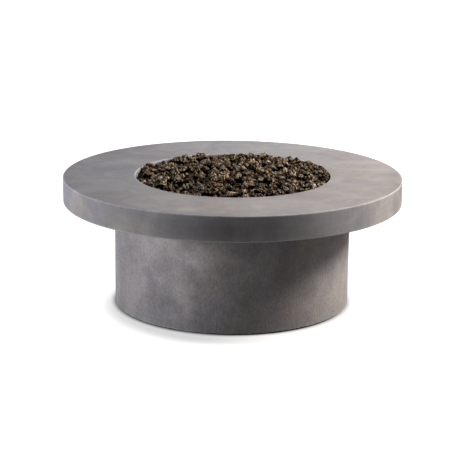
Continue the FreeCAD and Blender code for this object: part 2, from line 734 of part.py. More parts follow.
# Door


def door_span():
    """The door panel's two end angles: at the pin's plane and at the free edge."""
    pin = DOOR_ANGLE + DOORWAY_HALF_ANGLE - door_edge_angle(DOOR_GAP + DRUM_WALL / 2)
    free = DOOR_ANGLE - DOORWAY_HALF_ANGLE + door_edge_angle(DOOR_GAP)
    return free, pin


def pull_angle():
    return door_span()[0] + door_edge_angle(PULL_FROM_EDGE)


def door_middle_z():
    return DOORWAY_BOTTOM + DOORWAY_HEIGHT / 2


def access_door():
    """The drum's own wall as a swinging panel, its hinge edge rounded about the pin."""
    z0, z1 = DOORWAY_BOTTOM + DOOR_GAP, doorway_top - DOOR_GAP
    free, pin_angle = door_span()
    pin = hinge_point()
    panel = sector(drum_inner, drum_radius, z0, z1, free, pin_angle)
    panel = panel.fuse(disc(DRUM_WALL / 2, z0, z1, pin.x, pin.y)).removeSplitter()
    radius = HINGE_PIN_RADIUS + RUNNING_GAP / 2
    cuts = [
        disc(radius, z1 - HINGE_PIN_IN_DOOR, z1 + OVER, pin.x, pin.y),
        disc(radius, z0 - OVER, z0 + HINGE_PIN_IN_DOOR, pin.x, pin.y),
        turned(
            outwards(
                PULL_STUD_RADIUS + LOOSE_GAP, 0, door_middle_z(), drum_inner - OVER, drum_radius + OVER
            ),
            pull_angle(),
        ),
    ]
    return panel.cut(Part.makeCompound(cuts))


def door_hinge_pins():
    """Two steel pins, one in the door's top edge and one in its bottom edge."""
    pin = hinge_point()
    z0, z1 = DOORWAY_BOTTOM + DOOR_GAP, doorway_top - DOOR_GAP
    reach = HINGE_PIN_IN_WALL - HOLE_END_ROOM
    return [
        disc(HINGE_PIN_RADIUS, z1 - HINGE_PIN_IN_DOOR, doorway_top + reach, pin.x, pin.y),
        disc(HINGE_PIN_RADIUS, DOORWAY_BOTTOM - reach, z0 + HINGE_PIN_IN_DOOR, pin.x, pin.y),
    ]


def door_hinge_bushes():
    """Bronze bushes in the drum that the pins turn in."""
    pin = hinge_point()
    spans = (
        (doorway_top, doorway_top + HINGE_PIN_IN_WALL),
        (DOORWAY_BOTTOM - HINGE_PIN_IN_WALL, DOORWAY_BOTTOM),
    )
    bushes = []
    for z0, z1 in spans:
        sleeve = disc(HINGE_PIN_RADIUS + HINGE_BUSH_WALL, z0, z1, pin.x, pin.y)
        bore = disc(HINGE_PIN_RADIUS + RUNNING_GAP, z0 - OVER, z1 + OVER, pin.x, pin.y)
        bushes.append(sleeve.cut(bore))
    return bushes


def door_thrust_washer():
    """The washer on the lower pin that carries the door on the doorway's sill."""
    pin = hinge_point()
    z0, z1 = DOORWAY_BOTTOM, DOORWAY_BOTTOM + DOOR_GAP - RUNNING_GAP
    ring = disc(DRUM_WALL / 2 - THRUST_WASHER_INSET, z0, z1, pin.x, pin.y)
    return ring.cut(disc(HINGE_PIN_RADIUS + RUNNING_GAP, z0 - OVER, z1 + OVER, pin.x, pin.y))


def door_pull():
    """A round pull on the door's free side, with its stud through the panel."""
    z = door_middle_z()
    grip = outwards(PULL_RADIUS, 0, z, drum_radius, drum_radius + PULL_LENGTH)
    grip = grip.makeFillet(PULL_ROUND, [grip.Edges[0]])
    stud_end = drum_inner - PULL_NUT_HEIGHT - PULL_STUD_PROUD
    stud = outwards(PULL_STUD_RADIUS, 0, z, stud_end, drum_radius)
    return turned(grip.fuse(stud).removeSplitter(), pull_angle())


def door_pull_nut():
    z = door_middle_z()
    end = math.sqrt(drum_inner**2 - (PULL_NUT_FLATS / 2) ** 2) - RUNNING_GAP
    nut = hexagon(PULL_NUT_FLATS, (0, end - PULL_NUT_HEIGHT, z), (0, 1, 0), PULL_NUT_HEIGHT)
    bore = outwards(PULL_STUD_RADIUS + RUNNING_GAP, 0, z, end - PULL_NUT_HEIGHT - OVER, end + OVER)
    return turned(nut.cut(bore), pull_angle())


def catch_face():
    """How far out the catch's face can be before its ends meet the round wall."""
    return math.sqrt((drum_inner - RUNNING_GAP) ** 2 - (CATCH_LENGTH / 2) ** 2)


def door_catch():
    """The magnetic catch: fixed to the wall beside the doorway, it reaches behind the door."""
    z = door_middle_z()
    half = CATCH_HEIGHT / 2
    face = catch_face()
    body = box(-CATCH_LENGTH / 2, CATCH_LENGTH / 2, face - CATCH_DEPTH, face, z - half, z + half)
    back = face - STRIKE_SHEET - LOOSE_GAP
    step = box(
        -CATCH_LENGTH / 2 - OVER, -DOOR_GAP / 2, back, face + OVER, z - half - OVER, z + half + OVER
    )
    return turned(body.cut(step), DOOR_ANGLE - DOORWAY_HALF_ANGLE)


def door_strike():
    """The steel plate on the door's inner face that the magnet holds."""
    z = door_middle_z()
    half = CATCH_HEIGHT / 2
    face = catch_face()
    plate = box(
        -CATCH_LENGTH / 2, -DOOR_GAP - LOOSE_GAP, face - STRIKE_SHEET, face, z - half, z + half
    )
    return turned(plate, DOOR_ANGLE - DOORWAY_HALF_ANGLE)


# Vents


def vent_grilles():
    """Two steel plates with upright slots, screwed over the holes low in the wall."""
    grille = plate_with_holes(VENT_PLATE, vent_seat, VENT_HEIGHT_UP, PLATE_CORNER)
    slots = []
    radius, half = VENT_SLOT[0] / 2, (VENT_SLOT[1] - VENT_SLOT[0]) / 2
    y0, y1 = vent_seat - OVER, vent_seat + VENT_PLATE[2] + OVER
    for k in range(VENT_SLOT_COUNT):
        x = (k - (VENT_SLOT_COUNT - 1) / 2) * VENT_SLOT_PITCH
        slot = box(x - radius, x + radius, y0, y1, VENT_HEIGHT_UP - half, VENT_HEIGHT_UP + half)
        for end in (-half, half):
            slot = slot.fuse(outwards(radius, x, VENT_HEIGHT_UP + end, y0, y1))
        slots.append(slot)
    grille = grille.cut(Part.makeCompound(slots))
    return [turned(grille, angle) for angle in VENT_ANGLES]


# Control panel and what is on it


def control_panel():
    """The steel plate that carries the gas valve and the igniter."""
    plate = plate_with_holes(PANEL_PLATE, panel_seat, PANEL_HEIGHT_UP, PLATE_CORNER)
    holes = [
        outwards(radius + LOOSE_GAP, x, PANEL_HEIGHT_UP, panel_seat - OVER, panel_face + OVER)
        for radius, x in ((NOSE_RADIUS, KNOB_X), (IGNITER_RADIUS, IGNITER_X))
    ]
    return turned(plate.cut(Part.makeCompound(holes)), PANEL_ANGLE)


def plate_screws():
    """The pan-head screws of the control panel and the two vents."""
    screws = screws_of_plate(VENT_PLATE, VENT_HEIGHT_UP, vent_seat + VENT_PLATE[2])
    placed = [turned(s, angle) for angle in VENT_ANGLES for s in screws]
    panel = screws_of_plate(PANEL_PLATE, PANEL_HEIGHT_UP, panel_face)
    return placed + [turned(s, PANEL_ANGLE) for s in panel]


def gas_control_valve():
    """The valve's casting: its neck bears on the back of the plate and its nose comes through."""
    x0, x1 = KNOB_X - VALVE_WIDTH / 2, KNOB_X + VALVE_WIDTH / 2
    z = PANEL_HEIGHT_UP
    block = box(x0, x1, valve_back, valve_front, valve_bottom, valve_top)
    block = block.makeFillet(VALVE_ROUND, block.Edges)
    parts = [
        outwards(VALVE_NECK_RADIUS, KNOB_X, z, valve_front - VALVE_ROUND, panel_seat),
        outwards(NOSE_RADIUS, KNOB_X, z, panel_seat, nose_face),
        disc(PORT_RADIUS, shutoff_top, valve_bottom + VALVE_ROUND, KNOB_X, valve_y),
        outwards(PORT_RADIUS, KNOB_X, z, valve_back - PORT_LENGTH, valve_back + VALVE_ROUND),
    ]
    for x in (KNOB_X + PILOT_PORT_X, KNOB_X + SENSOR_PORT_X):
        port_top = valve_top + SMALL_PORT_LENGTH
        parts.append(disc(SMALL_PORT_RADIUS, valve_top - VALVE_ROUND, port_top, x, valve_y))
    for part in parts:
        block = block.fuse(part)
    bore_end = nose_face - STEM_IN_VALVE - KNOB_TRAVEL - HOLE_END_ROOM
    bore = outwards(STEM_RADIUS + RUNNING_GAP, KNOB_X, z, bore_end, nose_face + OVER)
    return turned(block.cut(bore).removeSplitter(), PANEL_ANGLE)


def valve_nose_nut():
    """The nut that clamps the panel to the valve."""
    nut = hexagon(NOSE_NUT_FLATS, (KNOB_X, panel_face, PANEL_HEIGHT_UP), (0, 1, 0), NOSE_NUT_HEIGHT)
    bore = outwards(
        NOSE_RADIUS + RUNNING_GAP, KNOB_X, PANEL_HEIGHT_UP, panel_face - OVER, nose_face + OVER
    )
    return turned(nut.cut(bore), PANEL_ANGLE)


def stem_shape(extra, y0, y1):
    """A D-shaped shaft, or with extra the hole that it fits."""
    radius = STEM_RADIUS + extra
    shaft = outwards(radius, KNOB_X, PANEL_HEIGHT_UP, y0, y1)
    flat_z = PANEL_HEIGHT_UP + radius - STEM_FLAT
    flat = box(KNOB_X - radius, KNOB_X + radius, knob_back, y1 + OVER, flat_z, flat_z + radius)
    return shaft.cut(flat)


def valve_stem():
    stem = stem_shape(0, nose_face - STEM_IN_VALVE, nose_face + STEM_OUT)
    return turned(stem, PANEL_ANGLE)


def stem_washer():
    """The sprung washer behind the knob: it goes in with the stem, but doesn't turn."""
    y0, y1 = washer_back, washer_back + WASHER_THICKNESS
    ring = outwards(WASHER_RADIUS, KNOB_X, PANEL_HEIGHT_UP, y0, y1)
    bore = outwards(STEM_RADIUS + RUNNING_GAP, KNOB_X, PANEL_HEIGHT_UP, y0 - OVER, y1 + OVER)
    return turned(ring.cut(bore), PANEL_ANGLE)


def control_knob():
    """The fluted knob, hollow behind, on the stem's flat."""
    z = PANEL_HEIGHT_UP
    front = knob_back + KNOB_HEIGHT
    knob = outwards(KNOB_RADIUS, KNOB_X, z, knob_back, front)
    knob = knob.makeFillet(KNOB_ROUND, [knob.Edges[0]])
    cuts = [
        outwards(KNOB_RECESS_RADIUS, KNOB_X, z, knob_back - OVER, knob_back + KNOB_RECESS_DEPTH),
        stem_shape(RUNNING_GAP / 2, knob_back, nose_face + STEM_OUT),
        box(
            KNOB_X - POINTER_WIDTH / 2,
            KNOB_X + POINTER_WIDTH / 2,
            front - POINTER_DEPTH,
            front + OVER,
            z + POINTER_START,
            z + KNOB_RADIUS - KNOB_ROUND,
        ),
    ]
    for k in range(KNOB_FLUTES):
        a = 2 * math.pi * (k + 0.5) / KNOB_FLUTES
        reach = KNOB_RADIUS + KNOB_FLUTE_RADIUS / 2
        x, up = KNOB_X + reach * math.cos(a), z + reach * math.sin(a)
        cuts.append(outwards(KNOB_FLUTE_RADIUS, x, up, knob_back + KNOB_SKIRT, front + OVER))
    return turned(knob.cut(Part.makeCompound(cuts)), PANEL_ANGLE)


def igniter_housing():
    """The igniter's tube with its bezel on the plate and the button's bore in front."""
    z = PANEL_HEIGHT_UP
    face = panel_face + IGNITER_BEZEL_HEIGHT
    tube = outwards(IGNITER_RADIUS, IGNITER_X, z, panel_face - IGNITER_LENGTH, panel_face)
    bezel = outwards(IGNITER_BEZEL_RADIUS, IGNITER_X, z, panel_face, face)
    bezel = bezel.makeFillet(IGNITER_BEZEL_ROUND, [bezel.Edges[0]])
    depth = BUTTON_LENGTH - BUTTON_OUT + BUTTON_TRAVEL + HOLE_END_ROOM
    bore = outwards(BUTTON_RADIUS + LOOSE_GAP, IGNITER_X, z, face - depth, face + OVER)
    return turned(tube.fuse(bezel).cut(bore).removeSplitter(), PANEL_ANGLE)


def igniter_nut():
    z = PANEL_HEIGHT_UP
    start = panel_seat - IGNITER_NUT_HEIGHT
    nut = hexagon(IGNITER_NUT_FLATS, (IGNITER_X, start, z), (0, 1, 0), IGNITER_NUT_HEIGHT)
    bore = outwards(IGNITER_RADIUS + RUNNING_GAP, IGNITER_X, z, start - OVER, panel_seat + OVER)
    return turned(nut.cut(bore), PANEL_ANGLE)


def igniter_button():
    face = panel_face + IGNITER_BEZEL_HEIGHT + BUTTON_OUT
    button = outwards(BUTTON_RADIUS, IGNITER_X, PANEL_HEIGHT_UP, face - BUTTON_LENGTH, face)
    return turned(button.makeFillet(BUTTON_ROUND, [button.Edges[0]]), PANEL_ANGLE)


# Shut-off valve


def shutoff_valve():
    """A brass ball valve: a hexagonal body, a round middle and a boss for the stem."""
    body = hexagon(SHUTOFF_FLATS, (KNOB_X, valve_y, shutoff_bottom), (0, 0, 1), SHUTOFF_LENGTH)
    body = body.fuse(Part.makeSphere(SHUTOFF_BALL_RADIUS, Vector(KNOB_X, valve_y, shutoff_z)))
    boss = outwards(SHUTOFF_BOSS_RADIUS, KNOB_X, shutoff_z, shutoff_boss_end, valve_y)
    bore = outwards(
        SHUTOFF_STEM_RADIUS + RUNNING_GAP,
        KNOB_X,
        shutoff_z,
        shutoff_boss_end - OVER,
        shutoff_boss_end + SHUTOFF_STEM_IN + HOLE_END_ROOM,
    )
    return turned(body.fuse(boss).cut(bore).removeSplitter(), PANEL_ANGLE)


def shutoff_stem():
    start = shutoff_boss_end - SHUTOFF_STEM_OUT
    stem = outwards(
        SHUTOFF_STEM_RADIUS, KNOB_X, shutoff_z, start, shutoff_boss_end + SHUTOFF_STEM_IN
    )
    return turned(stem, PANEL_ANGLE)


def lever_plane():
    """The lever's inner and outer faces, just clear of the boss."""
    outer = shutoff_boss_end - LOOSE_GAP
    return outer - LEVER_SHEET, outer


def shutoff_lever():
    """The flat lever, across the pipe when the gas is off."""
    y0, y1 = lever_plane()
    half = LEVER_WIDTH / 2
    blade = box(KNOB_X - LEVER_LENGTH, KNOB_X, y0, y1, shutoff_z - half, shutoff_z + half)
    blade = blade.fuse(outwards(half, KNOB_X, shutoff_z, y0, y1))
    blade = blade.fuse(outwards(half, KNOB_X - LEVER_LENGTH, shutoff_z, y0, y1)).removeSplitter()
    bore = outwards(SHUTOFF_STEM_RADIUS + RUNNING_GAP / 2, KNOB_X, shutoff_z, y0 - OVER, y1 + OVER)
    return turned(blade.cut(bore), PANEL_ANGLE)


def lever_grip():
    """The vinyl sleeve on the lever's end."""
    y0, y1 = lever_plane()
    tip = KNOB_X - LEVER_LENGTH
    start = tip + LEVER_GRIP_LENGTH - LEVER_WIDTH / 2

    def layer(extra):
        half = LEVER_WIDTH / 2 + extra
        bar = box(tip, start, y0 - extra, y1 + extra, shutoff_z - half, shutoff_z + half)
        return bar.fuse(outwards(half, tip, shutoff_z, y0 - extra, y1 + extra)).removeSplitter()

    return turned(layer(LEVER_GRIP_WALL).cut(layer(RUNNING_GAP)), PANEL_ANGLE)


def lever_nut():
    end = lever_plane()[0]
    start = end - LEVER_NUT_HEIGHT
    nut = hexagon(LEVER_NUT_FLATS, (KNOB_X, start, shutoff_z), (0, 1, 0), LEVER_NUT_HEIGHT)
    bore = outwards(
        SHUTOFF_STEM_RADIUS + RUNNING_GAP / 2, KNOB_X, shutoff_z, start - OVER, end + OVER
    )
    return turned(nut.cut(bore), PANEL_ANGLE)


# Gas inlet


def gas_inlet():
    """The bulkhead fitting: a female thread outside, a shank through the wall."""
    z = INLET_HEIGHT_UP
    hex_end = inlet_seat + INLET_HEX_LENGTH
    mouth = hex_end + INLET_BOSS_LENGTH
    body = hexagon(INLET_FLATS, (0, inlet_seat, z), (0, 1, 0), INLET_HEX_LENGTH)
    body = body.fuse(outwards(INLET_BOSS_RADIUS, 0, z, hex_end, mouth))
    body = body.fuse(outwards(INLET_SHANK_RADIUS, 0, z, inlet_shank_end, inlet_seat))
    body = body.cut(outwards(INLET_BORE_RADIUS, 0, z, mouth - INLET_BORE_LENGTH, mouth + OVER))
    body = body.cut(outwards(GAS_WAY_RADIUS, 0, z, inlet_shank_end - OVER, mouth))
    return turned(body.removeSplitter(), INLET_ANGLE)


def inlet_elbow():
    """The brass elbow that turns the gas way from the wall to the hose."""
    z = INLET_HEIGHT_UP
    way = outwards(ELBOW_RADIUS, 0, z, elbow_y, inlet_shank_end)
    arm = cylinder(ELBOW_RADIUS, (0, elbow_y, z), (-1, 0, 0), ELBOW_ARM)
    body = way.fuse(arm).fuse(Part.makeSphere(ELBOW_RADIUS, Vector(0, elbow_y, z)))
    bore = outwards(GAS_WAY_RADIUS, 0, z, elbow_y, inlet_shank_end + OVER)
    bore = bore.fuse(cylinder(GAS_WAY_RADIUS, (0, elbow_y, z), (-1, 0, 0), ELBOW_ARM + OVER))
    bore = bore.fuse(Part.makeSphere(GAS_WAY_RADIUS, Vector(0, elbow_y, z)))
    return turned(body.cut(bore).removeSplitter(), INLET_ANGLE)


def inlet_locknut():
    end = inlet_nut_seat()
    start = end - LOCKNUT_HEIGHT
    nut = hexagon(LOCKNUT_FLATS, (0, start, INLET_HEIGHT_UP), (0, 1, 0), LOCKNUT_HEIGHT)
    bore = outwards(INLET_SHANK_RADIUS + RUNNING_GAP, 0, INLET_HEIGHT_UP, start - OVER, end + OVER)
    return turned(nut.cut(bore), INLET_ANGLE)


# Lines


def bent_path(points):
    """Straight runs joined by the largest tangent arcs that their lengths allow."""
    edges = []
    radii = []
    start = points[0]
    for k in range(1, len(points) - 1):
        before = points[k - 1] - points[k]
        after = points[k + 1] - points[k]
        shorter = min(before.Length, after.Length)
        before.normalize()
        after.normalize()
        half_turn = (math.pi - before.getAngle(after)) / 2
        back = LINE_BEND_SHARE * shorter
        radius = back / math.tan(half_turn)
        middle = before + after
        middle.normalize()
        centre = points[k] + middle * (radius / math.cos(half_turn))
        arc_start, arc_end = points[k] + before * back, points[k] + after * back
        edges.append(Part.LineSegment(start, arc_start).toShape())
        edges.append(Part.Arc(arc_start, centre - middle * radius, arc_end).toShape())
        radii.append(radius)
        start = arc_end
    edges.append(Part.LineSegment(start, points[-1]).toShape())
    return Part.Wire(edges), radii


def line_solid(name, points, radius):
    """A round line along the points. It prints its bends and compares its volume with its length."""
    path, radii = bent_path(points)
    direction = points[1] - points[0]
    section = Part.Wire(Part.makeCircle(radius, points[0], direction))
    solid = path.makePipeShell([section], True, False)
    expected = math.pi * radius**2 * path.Length
    print(
        f"{name}: length {path.Length:.0f}, least bend {min(radii):.0f}, "
        f"volume over section times length {solid.Volume / expected:.4f}"
    )
    return solid


def wall_run_angles():
    """Where the supply hose turns along the foot of the wall, at even steps back from its last turn."""
    corner = hose_run_radius / math.cos(math.radians(SUPPLY_STEP / 2))
    meets_wall = math.sqrt(corner**2 - elbow_y**2)
    first = INLET_ANGLE + math.degrees(math.atan2(meets_wall, elbow_y))
    foot_x = KNOB_X + shutoff_bottom - HOSE_NUT_LENGTH - SUPPLY_DROP - SUPPLY_HOSE_LOW
    last = PANEL_ANGLE - math.degrees(math.asin(foot_x / corner))
    count = int((last - first) / SUPPLY_STEP)
    return corner, meets_wall, [last - SUPPLY_STEP * k for k in reversed(range(count))]


def supply_points():
    """Inlet to shut-off valve: down along the foot of the wall, then up in two easy bends."""
    corner, meets_wall, angles = wall_run_angles()
    start_x = ELBOW_ARM + HOSE_NUT_LENGTH
    end_z = shutoff_bottom - HOSE_NUT_LENGTH
    points = [
        turned_point(-start_x, elbow_y, INLET_HEIGHT_UP, INLET_ANGLE),
        turned_point(-meets_wall, elbow_y, INLET_HEIGHT_UP, INLET_ANGLE),
    ]
    points += [turned_point(0, corner, SUPPLY_HOSE_LOW, angle) for angle in angles]
    points.append(turned_point(KNOB_X, valve_y, end_z - SUPPLY_DROP, PANEL_ANGLE))
    points.append(turned_point(KNOB_X, valve_y, end_z, PANEL_ANGLE))
    return points


def hose_clip_angles():
    """Where the two clips stand: half-way along the hose's first and last runs by the wall."""
    angles = wall_run_angles()[2]
    return [angles[0] + SUPPLY_STEP / 2, angles[-1] - SUPPLY_STEP / 2]


def supply_hose():
    return line_solid("supply_hose", supply_points(), SUPPLY_HOSE_RADIUS)


def burner_points():
    """Control valve to air mixer: in from the valve, down in a slack bend and up under the hub."""
    start_y = valve_back - PORT_LENGTH - HOSE_NUT_LENGTH
    end_z = mixer_bottom - HOSE_NUT_LENGTH
    low = PANEL_HEIGHT_UP - BURNER_HOSE_SAG
    points = [
        turned_point(KNOB_X, start_y, PANEL_HEIGHT_UP, PANEL_ANGLE),
        turned_point(KNOB_X, start_y - BURNER_HOSE_LEAD_OUT, PANEL_HEIGHT_UP, PANEL_ANGLE),
    ]
    for route, top in ((BURNER_HOSE_DOWN, PANEL_HEIGHT_UP), (BURNER_HOSE_UP, end_z)):
        for out, up in route:
            z = low + (top - low) * up
            points.append(turned_point(KNOB_X * out, start_y * out, z, PANEL_ANGLE))
    points.append(turned_point(0, 0, end_z, PANEL_ANGLE))
    return points


def burner_hose():
    return line_solid("burner_hose", burner_points(), BURNER_HOSE_RADIUS)


def pilot_places():
    """x of the pilot tube, the sensor and the spark rod, beside each other on the pilot's plate."""
    return -PILOT_SPACING, 0.0, PILOT_SPACING


def riser(name, port_x, place, radius, drop):
    """A thin line from a port on the control valve, in under the pan and up through its floor."""
    sweep_z = pan_under - drop
    x = KNOB_X + port_x
    points = [
        turned_point(x, valve_y, valve_top + SMALL_PORT_LENGTH, PANEL_ANGLE),
        turned_point(x, valve_y, sweep_z - LINE_FALL, PANEL_ANGLE),
        turned_point(place, pilot_radius, sweep_z, PANEL_ANGLE),
        turned_point(place, pilot_radius, pan_floor + PILOT_PLATE_LIFT, PANEL_ANGLE),
    ]
    return line_solid(name, points, radius)


def pilot_tube():
    return riser("pilot_tube", PILOT_PORT_X, pilot_places()[0], PILOT_TUBE_RADIUS, PILOT_TUBE_DROP)


def sensor_lead():
    return riser("sensor_lead", SENSOR_PORT_X, pilot_places()[1], SENSOR_LEAD_RADIUS, SENSOR_LEAD_DROP)


def spark_lead():
    """The lead from the back of the igniter to the electrode."""
    back = panel_face - IGNITER_LENGTH
    place = pilot_places()[2]
    sweep_z = pan_under - SPARK_LEAD_DROP
    aside, inwards, up = SPARK_LEAD_BEND
    bend_y = back - SPARK_LEAD_OUT - inwards
    points = [
        turned_point(IGNITER_X, back, PANEL_HEIGHT_UP, PANEL_ANGLE),
        turned_point(IGNITER_X, back - SPARK_LEAD_OUT, PANEL_HEIGHT_UP, PANEL_ANGLE),
        turned_point(IGNITER_X + aside, bend_y, (PANEL_HEIGHT_UP + sweep_z) / 2 + up, PANEL_ANGLE),
        turned_point(place, pilot_radius, sweep_z, PANEL_ANGLE),
        turned_point(place, pilot_radius, pan_floor + PILOT_PLATE_LIFT, PANEL_ANGLE),
    ]
    return line_solid("spark_lead", points, SPARK_LEAD_RADIUS)


def hose_fittings():
    """The four hexagonal nuts at the ends of the two hoses."""
    back = valve_back - PORT_LENGTH - HOSE_NUT_LENGTH
    places = (
        ((KNOB_X, valve_y, shutoff_bottom - HOSE_NUT_LENGTH), (0, 0, 1), PANEL_ANGLE),
        ((KNOB_X, back, PANEL_HEIGHT_UP), (0, 1, 0), PANEL_ANGLE),
        ((-ELBOW_ARM, elbow_y, INLET_HEIGHT_UP), (-1, 0, 0), INLET_ANGLE),
        ((0, 0, mixer_bottom - HOSE_NUT_LENGTH), (0, 0, 1), PANEL_ANGLE),
    )
    return [
        turned(hexagon(HOSE_NUT_FLATS, start, direction, HOSE_NUT_LENGTH), angle)
        for start, direction, angle in places
    ]


def clip_ear_z():
    return SUPPLY_HOSE_LOW - SUPPLY_HOSE_RADIUS - CLIP_EAR / 2


def clip_screw_shank(extra):
    """The shank of a hose clip's screw, from the ear into the wall, or with extra its hole."""
    start = foot_rim_inner - RUNNING_GAP - CLIP_BAND
    end = start + CLIP_SCREW_LENGTH + (HOLE_END_ROOM if extra else 0)
    return outwards(CLIP_SCREW_RADIUS + extra, 0, clip_ear_z(), start, end)


def clip_screws():
    start = foot_rim_inner - RUNNING_GAP - CLIP_BAND
    head = outwards(PLATE_SCREW_HEAD, 0, clip_ear_z(), start - PLATE_SCREW_HEAD_HEIGHT, start)
    head = head.makeFillet(PLATE_SCREW_HEAD_ROUND, [head.Edges[2]])
    screw = clip_screw_shank(0).fuse(head).removeSplitter()
    return [turned(screw, angle) for angle in hose_clip_angles()]


def hose_clips():
    """Steel bands round the supply hose, each with an ear screwed to the foot of the wall."""
    half = CLIP_WIDTH / 2
    face = foot_rim_inner - RUNNING_GAP
    bore = SUPPLY_HOSE_RADIUS + LOOSE_GAP
    middle = (-half, hose_run_radius, SUPPLY_HOSE_LOW)
    band = cylinder(bore + CLIP_BAND, middle, (1, 0, 0), CLIP_WIDTH)
    low = SUPPLY_HOSE_LOW - SUPPLY_HOSE_RADIUS - CLIP_EAR
    ear = box(-half, half, face - CLIP_BAND, face, low, SUPPLY_HOSE_LOW)
    hole = outwards(
        CLIP_SCREW_RADIUS + LOOSE_GAP, 0, clip_ear_z(), face - CLIP_BAND - OVER, face + OVER
    )
    tunnel_start = (-half - OVER, hose_run_radius, SUPPLY_HOSE_LOW)
    tunnel = cylinder(bore, tunnel_start, (1, 0, 0), CLIP_WIDTH + 2 * OVER)
    clip = band.fuse(ear).cut(Part.makeCompound([hole, tunnel])).removeSplitter()
    curve = disc(foot_rim_inner - RUNNING_GAP / 2, low - OVER, SUPPLY_HOSE_LOW + CLIP_WIDTH)
    return [turned(clip.common(curve), angle) for angle in hose_clip_angles()]


# Burner pan


def pan_gasket():
    """A fibre ring between the ledge and the pan's flange."""
    outer = disc(flange_radius - GASKET_INSET, ledge_top, pan_flange_bottom)
    return outer.cut(disc(ledge_inner + GASKET_INSET, ledge_top - OVER, pan_flange_bottom + OVER))


def line_holes(radius_extra, z0, z1):
    """The holes in the pan's floor that the three thin lines come up through."""
    radii = (PILOT_TUBE_RADIUS, SENSOR_LEAD_RADIUS, SPARK_LEAD_RADIUS)
    return [
        turned(disc(r + radius_extra, z0, z1, x, pilot_radius), PANEL_ANGLE)
        for r, x in zip(radii, pilot_places())
    ]


def burner_pan():
    """A deep-drawn steel pan that hangs by its flange, with holes for the hub, drains and pilot."""
    pan = ring_of(
        [
            (NIPPLE_RADIUS + RUNNING_GAP, pan_floor, 0),
            (pan_inner, pan_floor, PAN_ROUND),
            (pan_inner, pan_flange_top, PAN_SHEET + PAN_LIP_ROUND),
            (flange_radius, pan_flange_top, 0),
            (flange_radius, pan_flange_bottom, 0),
            (pan_outer, pan_flange_bottom, PAN_LIP_ROUND),
            (pan_outer, pan_under, PAN_ROUND + PAN_SHEET),
            (NIPPLE_RADIUS + RUNNING_GAP, pan_under, 0),
        ]
    )
    drain = disc(DRAIN_RADIUS, pan_under - OVER, pan_floor + OVER, y=DRAIN_CIRCLE)
    cuts = all_round(drain, DRAIN_COUNT, DRAIN_FIRST_ANGLE)
    cuts += line_holes(LINE_HOLE_GAP, pan_under - OVER, pan_floor + OVER)
    return pan.cut(Part.makeCompound(cuts))


# Burner


def torus(ring_radius, tube_radius):
    return Part.makeTorus(ring_radius, tube_radius, Vector(0, 0, burner_z))


def burner_ring(ring_radius, port_count):
    """One hollow ring of the burner, with gas ports along its top."""
    tube = torus(ring_radius, BURNER_TUBE_RADIUS).cut(
        torus(ring_radius, BURNER_TUBE_RADIUS - BURNER_TUBE_WALL)
    )
    port = disc(GAS_PORT_RADIUS, burner_z, burner_z + BURNER_TUBE_RADIUS + OVER, y=ring_radius)
    return tube.cut(Part.makeCompound(all_round(port, port_count)))


def burner_spokes():
    """Tubes from the hub to the inner ring and on to the outer ring, fitted to both."""
    spokes = []
    for angle in [SPOKE_FIRST_ANGLE + 360.0 * k / SPOKE_COUNT for k in range(SPOKE_COUNT)]:
        tube = outwards(SPOKE_RADIUS, 0, burner_z, 0, OUTER_RING_RADIUS)
        bore = outwards(SPOKE_RADIUS - BURNER_TUBE_WALL, 0, burner_z, -OVER, OUTER_RING_RADIUS + OVER)
        tube = tube.cut(bore)
        for solid in (
            torus(OUTER_RING_RADIUS, BURNER_TUBE_RADIUS),
            torus(INNER_RING_RADIUS, BURNER_TUBE_RADIUS),
            disc(HUB_RADIUS, pan_floor, hub_top),
        ):
            tube = tube.cut(solid)
        spokes += [turned(s, angle) for s in tube.Solids]
    return spokes


def burner_hub():
    """The round hub that the gas comes up into."""
    hub = disc(HUB_RADIUS, hub_bottom, hub_top)
    hub = hub.makeFillet(HUB_ROUND, [hub.Edges[0]])
    bore = disc(NIPPLE_RADIUS + RUNNING_GAP, hub_bottom - OVER, nipple_top + HOLE_END_ROOM)
    return hub.cut(bore)


def burner_supports():
    """Saddles that hold the outer ring off the pan's floor."""
    half = SUPPORT_SIZE / 2
    start, end = OUTER_RING_RADIUS - half, OUTER_RING_RADIUS + half
    post = box(-half, half, start, end, pan_floor, burner_z - SADDLE_LIP)
    saddle = torus(OUTER_RING_RADIUS, BURNER_TUBE_RADIUS)
    post = post.cut(saddle)
    return all_round(post, SUPPORT_COUNT, SPOKE_FIRST_ANGLE + 180.0 / SUPPORT_COUNT)


def hub_nipple():
    """The threaded pipe from the mixer up through the pan into the hub."""
    low = mixer_top - MIXER_CAP + NIPPLE_END_GAP
    pipe = disc(NIPPLE_RADIUS, low, nipple_top)
    return pipe.cut(disc(GAS_WAY_RADIUS, low - OVER, nipple_top + OVER))


def pan_nuts():
    """The two nuts that clamp the pipe to the pan's floor."""
    bore = disc(NIPPLE_RADIUS + RUNNING_GAP, mixer_top - OVER, hub_bottom + OVER)
    upper = hexagon(PAN_NUT_FLATS, (0, 0, pan_floor), (0, 0, 1), PAN_NUT_HEIGHT).cut(bore)
    lower = hexagon(PAN_NUT_FLATS, (0, 0, mixer_top), (0, 0, 1), PAN_NUT_HEIGHT).cut(bore)
    return [upper, lower]


